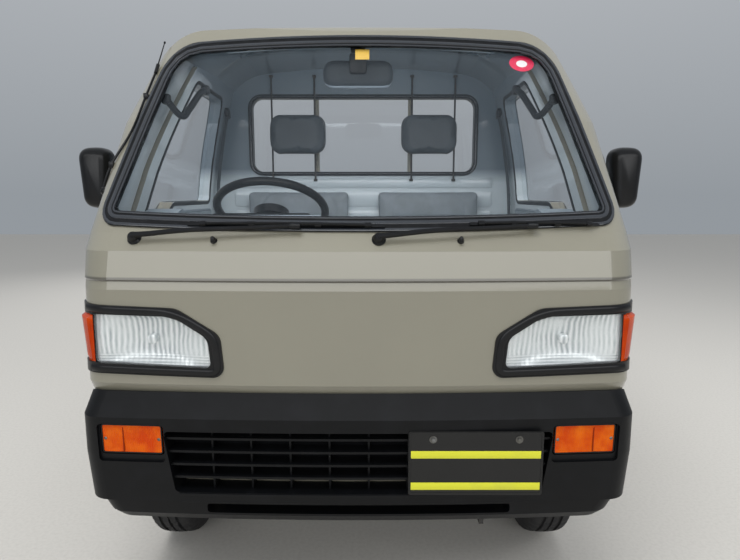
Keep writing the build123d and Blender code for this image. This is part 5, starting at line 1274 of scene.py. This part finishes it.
class LiningOperator(bpy.types.Operator):
    """Adds the visors, grips, belts, mirror stem, rear wall pressings and floor mats"""
    bl_idname = "pickup.lining"
    bl_label = "Cab lining"

    def execute(self, context):
        ceiling, walls = skin_tree("roof_panel", "cab_sides"), skin_tree("cab_sides", "rear_wall")
        soft, dark, belts = bmesh.new(), bmesh.new(), bmesh.new()

        def under(x, station):
            point, _ = hit(ceiling, (x * MM, y_at(station), 1.45), (0, 0, 1))
            return point

        for side in (-1, 1):
            bridge(soft, [[under(side * x, station) - Vector((0, 0, drop * MM)) for station, drop in VISOR]
                          for x in (70, 82, 250, 418, 430)])
            grip = smooth_path([place(side * x, station, z) for x, station, z in
                                ((493, 560, 1480), (500, 520, 1462), (524, 480, 1408), (532, 455, 1386),
                                 (545, 432, 1394), (566, 408, 1428))], 6)
            add_tube(dark, grip, 10.0, 12)
            for spot in (grip[0], grip[-1]):
                add_block(dark, spot, (0.024, 0.026, 0.030), 0.006)
            # Belt: webbing down the rear pillar from its loop to the reel
            web = []
            for z, lean in ((1500, 0), (1400, 4), (1200, 8), (1000, 12), (820, 14), (690, 14)):
                start = Vector((0.0, y_at(1172), z * MM))
                point, way = hit(walls, start, (side, 0, 0))
                web.append(point + way * (14 + lean) * MM)
            path = smooth_path(web, 4)
            add_sweep(belts, path, (-side, 0, 0), [(-23, -0.7), (23, -0.7), (23, 0.7), (-23, 0.7)])
            top = path[0]
            add_lathe(dark, top + Vector((side * 0.012, 0, 0.004)), (-side, 0, 0),
                      [(0, 0), (0, 16), (14, 16), (18, 13), (20, 0)], 20)
            add_block(dark, top + Vector((0, 0, -0.006)), (0.010, 0.062, 0.030), 0.004)
            add_block(dark, path[-1] + Vector((side * -0.004, 0, -0.03)), (0.050, 0.066, 0.075), 0.01)
            add_block(dark, place(side * 62, 1125, 700), (0.022, 0.045, 0.110), 0.006)
        # Ceiling bracket of the inner mirror
        x, station, z = INNER_MIRROR
        add_block(dark, place(x, station - 8, z + 28), (0.052, 0.026, 0.060), 0.008)
        add_block(dark, place(x, station, z + 72), (0.044, 0.040, 0.030), 0.006)
        make_piece("sun_visors", soft, "cab_lining")
        make_piece("cab_grips", dark, "rim_plastic")
        make_piece("seat_belts", belts, "belt_web")
        housing, glass = bmesh.new(), bmesh.new()
        outline = rounded_box(x - 106, x + 106, z - 41, z + 41, 46, 9)
        bridge(housing, [stand_at(moved_outline(outline, -inset), level)
                         for level, inset in INNER_MIRROR_RINGS])
        make_piece("inner_mirror_housing", housing, "housing_grey", replaces=("inner_mirror",))
        outline = rounded_box(x - 98, x + 98, z - 34, z + 34, 28, 6)
        bridge(glass, [stand_at(outline, 500.2), stand_at(outline, 501.6)])
        make_piece("inner_mirror_glass", glass, "mirror_silver")
        wall, mats = bmesh.new(), bmesh.new()
        face = 1232.2
        for foot, head, deep in ((1182, 1226, 7), (1100, 1168, 5), (1000, 1086, 5), (900, 986, 5)):
            outline = rounded_box(-570, 570, foot, head, 14, 5)
            inner = rounded_box(-561, 561, foot + 9, head - 9, 9, 5)
            bridge(wall, [stand_at(outline, face), stand_at(outline, face - 1.5),
                          stand_at(inner, face - deep)])
        make_piece("rear_wall_pressings", wall, "body_paint")
        for side in (-1, 1):
            outline = rounded_box(side * 60, side * 330, 450, 780, 30, 5)
            bridge(mats, [[place(px, s, z) for px, s in outline] for z in (412.4, 417)])
            for row in range(10):
                add_block(mats, place(side * 195, 475 + row * 31, 418), (0.24, 0.010, 0.004), 0.0015)
        make_piece("floor_mats", mats, "seal_rubber")
        return {"FINISHED"}


# Doors, wheels, bed and underside

# Outlines on a door, as (station, height)
DOOR_WINDOW = [(392, 1070), (560, 1070), (640, 1128), (1072, 1128), (1072, 1440), (1052, 1526), (702, 1526)]
DOOR_LINING = [(404, 662), (560, 664), (690, 646), (800, 592), (880, 510), (930, 474), (1096, 470), (1096, 1098),
               (650, 1098), (570, 1046), (404, 1046)]


class DoorOperator(bpy.types.Operator):
    """Dresses both doors: window rubbers, belt strip, handle, lock, lining, armrest and winder"""
    bl_idname = "pickup.doors"
    bl_label = "Doors"

    def execute(self, context):
        for name, side in SIDES:
            skin = skin_tree(f"door_{name}")
            body = f"door_{name}"
            edge = spread_along(round_corners(DOOR_WINDOW, 24, 5), 40)
            rubber = bmesh.new()
            # The outer rubber, then the inner one
            for reach, start, way in ((5.0, 1.2, -side), (7.0, 0.2, side)):
                spots = [hit(skin, (side * start, y_at(station), z * MM), (way, 0, 0))
                         for station, z in moved_outline(edge, reach)]
                add_bead(rubber, spots, half_round(7, 3.4, 4) + [(-7, -1.5), (7, -1.5)], closed=True)
            belt = [from_side(skin, side, station, z) for station, z in
                    ((384, 1061), (470, 1061), (556, 1061), (578, 1070), (632, 1111), (650, 1117), (760, 1117),
                     (880, 1117), (1000, 1117), (1084, 1117))]
            add_bead(rubber, belt, [(-6, -1), (6, -1), (6, 3.5), (3, 6), (-3, 6), (-6, 3.5)])
            make_piece(f"window_rubber_{name}", rubber, "seal_rubber", body)
            handle = bmesh.new()
            point, out = from_side(skin, side, 1048, 1006)
            turn = Matrix.Rotation(atan2(out.z, out.x * side) * -side, 4, "Y")
            add_block(handle, point + out * 0.0015, (0.005, 0.150, 0.062), 0.002, turn)
            add_block(handle, point + out * 0.011 + Vector((0, 0, 0.012)), (0.012, 0.128, 0.020), 0.005, turn)
            for dy in (-0.052, 0.052):
                foot = point + out * 0.006 + Vector((0, dy, 0.012))
                add_block(handle, foot, (0.012, 0.020, 0.020), 0.003, turn)
            make_piece(f"door_handle_{name}", handle, "trim_plastic", body)
            lock = bmesh.new()
            point, out = from_side(skin, side, 1050, 955)
            add_lathe(lock, point - out * 0.001, out,
                      [(0, 0), (0, 12), (2.5, 12), (4, 10), (4, 5), (3, 4.5), (3, 0)], 24)
            make_piece(f"door_lock_{name}", lock, "nut_steel", body)
            board, fittings = bmesh.new(), bmesh.new()
            corners = round_corners(DOOR_LINING, 26, 4)
            loops = []
            for reach, lift in ((0.0, 0.0), (0.0, 3.0), (-5.0, 6.0), (-11.0, 4.0), (-14.0, 5.0)):
                loop = []
                for spot in moved_outline(corners, reach):
                    point, out = hit(skin, (side * 0.2, y_at(spot[0]), spot[1] * MM), (side, 0, 0))
                    loop.append(point + Vector((-side * lift * MM, 0, 0)))
                loops.append(loop)
            bridge(board, loops)
            make_piece(f"door_lining_{name}", board, "cab_lining", body)
            rest_in, _ = hit(skin, (side * 0.2, y_at(840), 0.890), (side, 0, 0))
            rest = [Vector((rest_in.x - side * lift * MM, y_at(station), z * MM)) for station, z, lift in
                    ((640, 872, 10), (665, 900, 26), (720, 904, 34), (860, 904, 34), (960, 904, 34),
                     (1010, 900, 26), (1030, 880, 10))]
            add_tube(fittings, smooth_path(rest, 4), 17.0, 14, flat=0.8)
            hub, _ = hit(skin, (side * 0.2, y_at(720), 0.800), (side, 0, 0))
            hub = hub - Vector((side * 0.006, 0, 0))
            add_lathe(fittings, hub, (-side, 0, 0),
                      [(0, 0), (0, 22), (4, 21), (9, 13), (22, 12), (24, 0)], 24)
            crank = [hub + Vector((-side * across, dy, dz)) for across, dy, dz in
                     ((0.018, 0, 0), (0.024, 0.045, -0.03), (0.026, 0.085, -0.056))]
            add_tube(fittings, smooth_path(crank, 5), 5.5, 10, flat=0.7)
            add_lathe(fittings, hub + Vector((-side * 0.024, 0.085, -0.056)), (-side, 0, 0),
                      [(0, 0), (0, 9), (18, 11), (24, 9), (25, 0)], 18)
            pull, _ = hit(skin, (side * 0.2, y_at(600), 0.985), (side, 0, 0))
            add_block(fittings, pull - Vector((side * 0.009, 0, 0)), (0.014, 0.110, 0.050), 0.006)
            add_block(fittings, pull - Vector((side * 0.018, 0, 0)), (0.010, 0.080, 0.020), 0.004)
            make_piece(f"door_fittings_{name}", fittings, "rim_plastic", body)
        return {"FINISHED"}


TREAD_HALF = [(58, 153), (62, 157), (65, 164), (68, 178), (69.5, 184), (70.4, 185), (72.2, 205), (72.3, 216),
              (70.6, 230), (69.6, 232), (66.5, 243), (62.0, 252), (57.0, 259.5), (49.0, 265.0), (42.0, 267.0),
              (31.5, 268.8), (30.0, 262.0), (22.0, 262.0), (20.5, 269.8), (4.0, 270.6), (3.0, 264.0)]


class WheelOperator(bpy.types.Operator):
    """Builds the four tyres with their tread, and adds nuts, caps and valves to the rims"""
    bl_idname = "pickup.wheels"
    bl_label = "Wheels"
    steps: IntProperty(name="Steps", description="Steps round a tyre", default=156, min=60)

    def execute(self, context):
        profile = TREAD_HALF + [(-along, radius) for along, radius in reversed(TREAD_HALF)]
        for axle, station in AXLES:
            for name, side in SIDES:
                centre = place(side * 602.5, station, 271)
                body = f"wheel_{axle}_{name}"
                rings = []
                for i in range(self.steps):
                    turn = 2 * pi * i / self.steps
                    radial = Vector((0, cos(turn), sin(turn)))
                    ring = []
                    for along, radius in profile:
                        cut = 0.0
                        if 36 < abs(along) < 60 and i % 3 == 0:
                            cut = 4.5 if abs(along) > 45 else 3.0
                        elif abs(along) <= 21 and radius > 266 and i % 6 == (0 if along > 0 else 3):
                            cut = 3.5
                        lean = 0.0 if abs(along) > 30 else along * 0.0006
                        spun = Vector((0, cos(turn + lean), sin(turn + lean))) if lean else radial
                        ring.append(centre + spun * (radius - cut) * MM + Vector((side * along * MM, 0, 0)))
                    rings.append(ring)
                tyre = bmesh.new()
                bridge(tyre, rings, closed=True)
                make_piece(f"tyre_tread_{axle}_{name}", tyre, "tyre_rubber", body,
                           replaces=(f"tyre_{axle}_{name}",), sharp=28)
                nuts = bmesh.new()
                out = Vector((side, 0, 0))
                for i in range(4):
                    turn = pi / 4 + pi / 2 * i
                    spot = centre + Vector((side * 20.5 * MM, cos(turn) * 0.050, sin(turn) * 0.050))
                    add_lathe(nuts, spot, out, [(0, 0), (0, 11), (2, 10.5), (2.5, 9.2)], 18)
                    add_lathe(nuts, spot + out * 0.0024, out,
                              [(0, 9.6), (9, 9.6), (12, 8.0), (17, 5.6), (18, 0)], 6)
                make_piece(f"wheel_nuts_{axle}_{name}", nuts, "nut_steel", body)
                cap = bmesh.new()
                add_lathe(cap, centre + out * 0.0235, out,
                          [(0, 0), (0, 31), (3, 32), (5, 30), (7, 25), (15, 23), (20, 16), (21.5, 0)], 32)
                spot = centre + Vector((side * 0.034, 0.0, 0.137))
                add_lathe(cap, spot, out + Vector((0, 0, -0.25)),
                          [(0, 0), (0, 5), (12, 4), (13, 3), (24, 3), (24.5, 0)], 12)
                make_piece(f"wheel_cap_{axle}_{name}", cap, "trim_plastic", body)
        return {"FINISHED"}


def gate_edge(half):
    """The section of the rounded strip along a gate's top."""
    return [(-half, -1.0), (half, -1.0), (half, 2.0), (12.0, 4.0), (-12.0, 4.0), (-half, 2.0)]


class BedOperator(bpy.types.Operator):
    """Adds hooks, hinge straps, latches, guard feet, lamps and reflectors to the bed"""
    bl_idname = "pickup.bed"
    bl_label = "Bed fittings"

    def execute(self, context):
        hooks, bolts = bmesh.new(), bmesh.new()
        for side in (-1, 1):
            for station in (1560, 1960, 2400, 2640, 3060):
                path = [place(side * x, station, z) for x, z in
                        ((657, 604), (664, 603), (669, 596), (669, 580), (667, 571), (662, 569))]
                add_tube(hooks, smooth_path(path, 4), 3.6, 10)
            for station in range(1380, 3241, 93):
                add_lathe(bolts, place(side * 659, station, 588), (side, 0, 0),
                          [(0, 0), (0, 5), (2, 4.5), (2.4, 0)], 10)
        for x in (-585, -210, 210, 585):
            add_block(bolts, place(x, 1315, 943), (0.052, 0.026, 0.006), 0.002)
            for dx in (-19, 19):
                add_lathe(bolts, place(x + dx, 1315, 945.5), (0, 0, 1),
                          [(0, 0), (0, 4.5), (3, 4), (3.4, 0)], 6)
            for z in (610, 690):
                add_lathe(bolts, place(x, 1328, z), (0, 1, 0), [(0, 0), (0, 7), (4, 6.5), (4.6, 0)], 6)
        make_piece("rope_hooks", hooks, "nut_steel")
        make_piece("bed_bolts", bolts, "nut_steel")
        for name, side in SIDES:
            straps = bmesh.new()
            for station in (1440, 1880, 2320, 2760, 3180):
                add_block(straps, place(side * 698.6, station, 694), (0.0032, 0.044, 0.050), 0.001)
                for z in (683, 705):
                    for dy in (-13, 13):
                        add_rivet(straps, place(side * 700, station + dy, z), (side, 0, 0))
            for station, sign in ((1362, 1), (3226, -1)):
                add_block(straps, place(side * 699.5, station, 856), (0.005, 0.040, 0.092), 0.0015)
                pin = place(side * 704, station, 836)
                add_lathe(straps, pin - Vector((side * 0.003, 0, 0)), (side, 0, 0),
                          [(0, 0), (0, 9), (6, 9), (7, 7), (7, 0)], 18)
                lever = [pin + Vector((side * across, sign * dy, dz)) for across, dy, dz in
                         ((0.002, 0, 0), (0.004, 0, 0.026), (0.004, 0.004, 0.056), (0.007, 0.012, 0.074))]
                add_tube(straps, smooth_path(lever, 4), 4.2, 10, flat=0.8)
            line = [place(side * 682.5, station, 935) for station in (1336, 2000, 2600, 3254)]
            add_sweep(straps, line, (0, 0, 1), gate_edge(15.2))
            make_piece(f"gate_fittings_{name}", straps, "body_paint", f"side_gate_{name}")
        tail = bmesh.new()
        for x in (-520, -175, 175, 520):
            add_block(tail, place(x, 3296.1, 694), (0.044, 0.0032, 0.050), 0.001)
            for z in (683, 705):
                for dx in (-13, 13):
                    add_rivet(tail, place(x + dx, 3297.5, z), (0, 1, 0))
        for side in (-1, 1):
            add_block(tail, place(side * 672, 3297, 856), (0.034, 0.005, 0.092), 0.0015)
            add_lathe(tail, place(side * 672, 3299, 856), (0, 1, 0), [(0, 0), (0, 10), (5, 9), (6, 0)], 16)
        line = [place(x, 3280, 935) for x in (-694, -200, 200, 694)]
        add_sweep(tail, line, (0, 0, 1), gate_edge(15.0))
        make_piece("tail_gate_fittings", tail, "body_paint", "tail_gate")
        low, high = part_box("tail_lamps")
        amber, clear, rims, screws = bmesh.new(), bmesh.new(), bmesh.new(), bmesh.new()
        rear, middle = high.y, (low.z + high.z) / 2
        for side in (-1, 1):
            for made, x, wide in ((amber, 608, 0.056), (clear, 480, 0.048)):
                add_block(made, Vector((side * x * MM, rear + 0.0012, middle)), (wide, 0.0045, 0.072), 0.002)
                for row in range(7):
                    spot = Vector((side * x * MM, rear + 0.0040, middle + (row - 3) * 0.0095))
                    add_block(made, spot, (wide - 0.006, 0.0016, 0.0035), 0.0007)
            outline = rounded_box(side * 545 - 94, side * 545 + 94, -42, 42, 5, 3)
            ring = [Vector((px * MM, rear - 0.001, middle + pz * MM)) for px, pz in outline]
            add_sweep(rims, ring, (0, 1, 0), [(-3, -3), (2, -3), (2, 2.4), (-3, 2.4)], closed=True)
            for dx in (-34, 38):
                add_lathe(screws, Vector((side * 545 * MM + dx * MM, rear - 0.0005, middle)), (0, 1, 0),
                          [(0, 0), (0, 4), (1.4, 3.6), (2, 0)], 12)
        make_piece("tail_lamp_amber", amber, "amber_lens")
        make_piece("tail_lamp_clear", clear, "sticker_white")
        make_piece("tail_lamp_rims", rims, "trim_plastic")
        make_piece("tail_lamp_screws", screws, "nut_steel")
        lamp = bmesh.new()
        rail_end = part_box("chassis_frame")[1].y
        add_block(lamp, Vector((0, rail_end - 0.010, 0.590)), (0.34, 0.004, 0.05), 0.002)
        make_piece("plate_bracket", lamp, "chassis_paint")
        return {"FINISHED"}


class UndersideOperator(bpy.types.Operator):
    """Adds the bolts, clips, straps and ribs that show from below"""
    bl_idname = "pickup.underside"
    bl_label = "Underside"

    def execute(self, context):
        steel, cast = bmesh.new(), bmesh.new()

        def hex_bolt(spot, size):
            add_lathe(steel, spot, (0, 0, -1),
                      [(-2, 0), (-2, size), (size * 0.6, size), (size * 0.75, size * 0.8), (size * 0.76, 0)], 6)

        for side in (-1, 1):
            for dy in (-46, 46):
                for dx in (-30, 30):
                    top = place(side * 440 + dx, 2546 + dy * 0.8, 330)
                    add_tube(steel, [top + Vector((0, 0, -0.03)), top + Vector((0, 0, 0.065))], 5.0, 10)
                    hex_bolt(top + Vector((0, 0, -0.036)), 8.5)
            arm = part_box("front_suspension")
            for x in (340, 500):
                hex_bolt(place(side * x, 580, arm[0].z / MM + 1), 9.0)
            for station in (200, 470, 700, 900, 1100):
                hex_bolt(place(side * 330, station, 320.5), 7.0)
            for station in (1560, 1830, 2760, 3190):
                hex_bolt(place(side * 330, station, 480.5), 7.0)
        low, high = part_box("fuel_tank")
        corner, proud = 0.02, 0.0015
        for dx in (-150, 150):
            x = (low.x + high.x) / 2 + dx * MM
            path = [Vector((x, y, z)) for y, z in (
                (low.y - proud, high.z), (low.y - proud, low.z + corner),
                (low.y + corner, low.z - proud), (high.y - corner, low.z - proud),
                (high.y + proud, low.z + corner), (high.y + proud, high.z))]
            for start, end in zip(path, path[1:]):
                run = end - start
                turn = Matrix.Rotation(atan2(run.z, run.y), 4, "X")
                add_block(steel, (start + end) / 2, (0.028, run.length + 0.002, 0.003), 0.0008, turn)
        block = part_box("engine_block")
        for row in range(9):
            spot = Vector((0, y_at(1985) + row * 0.034, block[0].z + 0.001))
            add_block(cast, spot, (0.36, 0.008, 0.012), 0.002)
        for x in (-170, 170):
            for row in range(5):
                hex_bolt(Vector((x * MM, y_at(1990) + row * 0.065, block[0].z)), 6.5)
        hex_bolt(Vector((0.06, y_at(2200), block[0].z)), 12.0)
        make_piece("underside_bolts", steel, "nut_steel")
        make_piece("engine_ribs", cast, "cast_metal")
        return {"FINISHED"}


class StageOperator(bpy.types.Operator):
    """Sets the pale floor, the soft lights and the camera"""
    bl_idname = "pickup.stage"
    bl_label = "Set the stage"

    def execute(self, context):
        scene, sizes = context.scene, context.scene.pickup_sizes
        floor_mesh = bpy.data.meshes.new("studio_floor")
        reach = 14.0
        corners = [(-reach, -reach, 0), (reach, -reach, 0), (reach, reach, 0), (-reach, reach, 0)]
        floor_mesh.from_pydata(corners, [], [(0, 1, 2, 3)])
        floor = bpy.data.objects.new("studio_floor", floor_mesh)
        scene.collection.objects.link(floor)
        material, tree, where = new_material("studio floor, matt")
        colour = blend_colours(tree, speckle(tree, where, 12, 0.4, 0.8), linear(scene.pickup_colours.floor),
                               linear("#BDBAB4"))
        floor_mesh.materials.append(finish_material(material, {"Base Color": colour, "Roughness": 0.85}))

        world = bpy.data.worlds.new("studio")
        world.use_nodes = True
        tree = world.node_tree
        tree.nodes.clear()
        ray = add_node(tree, "TexCoord").outputs["Generated"]
        height = add_node(tree, "SeparateXYZ", {"Vector": ray}).outputs["Z"]
        ramp = add_node(tree, "ValToRGB", {"Fac": height})
        ramp.color_ramp.elements[0].position = 0.0
        ramp.color_ramp.elements[0].color = linear("#B9C0C7")
        ramp.color_ramp.elements[1].position = 0.6
        ramp.color_ramp.elements[1].color = linear("#F2F6FB")
        shade = add_node(tree, "Background", {"Color": ramp.outputs["Color"], "Strength": 0.6})
        add_node(tree, "OutputWorld", {"Surface": shade.outputs[0]})
        scene.world = world

        for name, spot, aim, size, power in (
                ("overhead light", (0.0, -0.6, 5.2), (0.0, -0.4, 0.8), (5.0, 5.0), 84.0),
                ("high front light", (-1.0, -3.9, 5.6), (0.0, -1.2, 1.0), (3.0, 2.4), sizes.front_light),
                ("low front light", (0.5, -13.0, 5.0), (0.0, -0.6, 1.1), (22.0, 4.2), 730.0),
                ("cab light", (0.0, y_at(520), 1.53), (0.0, y_at(1230), 0.95), (0.8, 0.2), 4.0),
                ("side light", (5.2, -1.6, 2.8), (0.0, -0.2, 0.9), (2.6, 2.2), 60.0),
                ("rear light", (-2.5, 5.0, 3.6), (0.0, 0.6, 0.7), (3.0, 2.0), 80.0)):
            data = bpy.data.lights.new(name, "AREA")
            data.shape = "RECTANGLE"
            data.size, data.size_y = size
            data.energy = power
            lamp = bpy.data.objects.new(name, data)
            lamp.location = spot
            lamp.rotation_euler = (Vector(aim) - Vector(spot)).to_track_quat("-Z", "Y").to_euler()
            lamp.visible_glossy = name == "low front light"
            scene.collection.objects.link(lamp)

        lens = bpy.data.cameras.new("camera")
        lens.lens = sizes.lens
        camera = bpy.data.objects.new("camera", lens)
        camera.location = (0.029, y_at(-1305), 1.150)
        camera.rotation_euler = (radians(81.5), 0.0, 0.0)
        scene.collection.objects.link(camera)
        scene.camera = camera
        scene.view_settings.view_transform = "Standard"
        return {"FINISHED"}


class PickupPanel(bpy.types.Panel):
    """Shows the pickup's colours, sizes and steps in the sidebar"""
    bl_label = "Pickup"
    bl_idname = "VIEW3D_PT_pickup"
    bl_space_type = "VIEW_3D"
    bl_region_type = "UI"
    bl_category = "Pickup"

    def draw(self, context):
        for group in (context.scene.pickup_colours, context.scene.pickup_sizes):
            for key in type(group).__annotations__:
                self.layout.prop(group, key)
        for step in STEPS:
            self.layout.operator(step.bl_idname)


STEPS = (FrameFinishOperator, StageOperator, ShieldTrimOperator, WiperOperator, HeadlampOperator,
         GrilleOperator, LampTrimOperator, PlateOperator, StickerOperator, MirrorOperator, AerialOperator,
         SeatOperator, DashOperator, LiningOperator, DoorOperator, WheelOperator, BedOperator,
         UndersideOperator)
CLASSES = (PickupColours, PickupSizes, *STEPS, PickupPanel)


def register():
    for item in CLASSES:
        bpy.utils.register_class(item)
    bpy.types.Scene.pickup_colours = PointerProperty(type=PickupColours)
    bpy.types.Scene.pickup_sizes = PointerProperty(type=PickupSizes)


def unregister():
    del bpy.types.Scene.pickup_sizes
    del bpy.types.Scene.pickup_colours
    for item in reversed(CLASSES):
        bpy.utils.unregister_class(item)


def main():
    register()
    for step in STEPS:
        group, name = step.bl_idname.split(".")
        getattr(getattr(bpy.ops, group), name)()


if __name__ == "__main__":
    main()
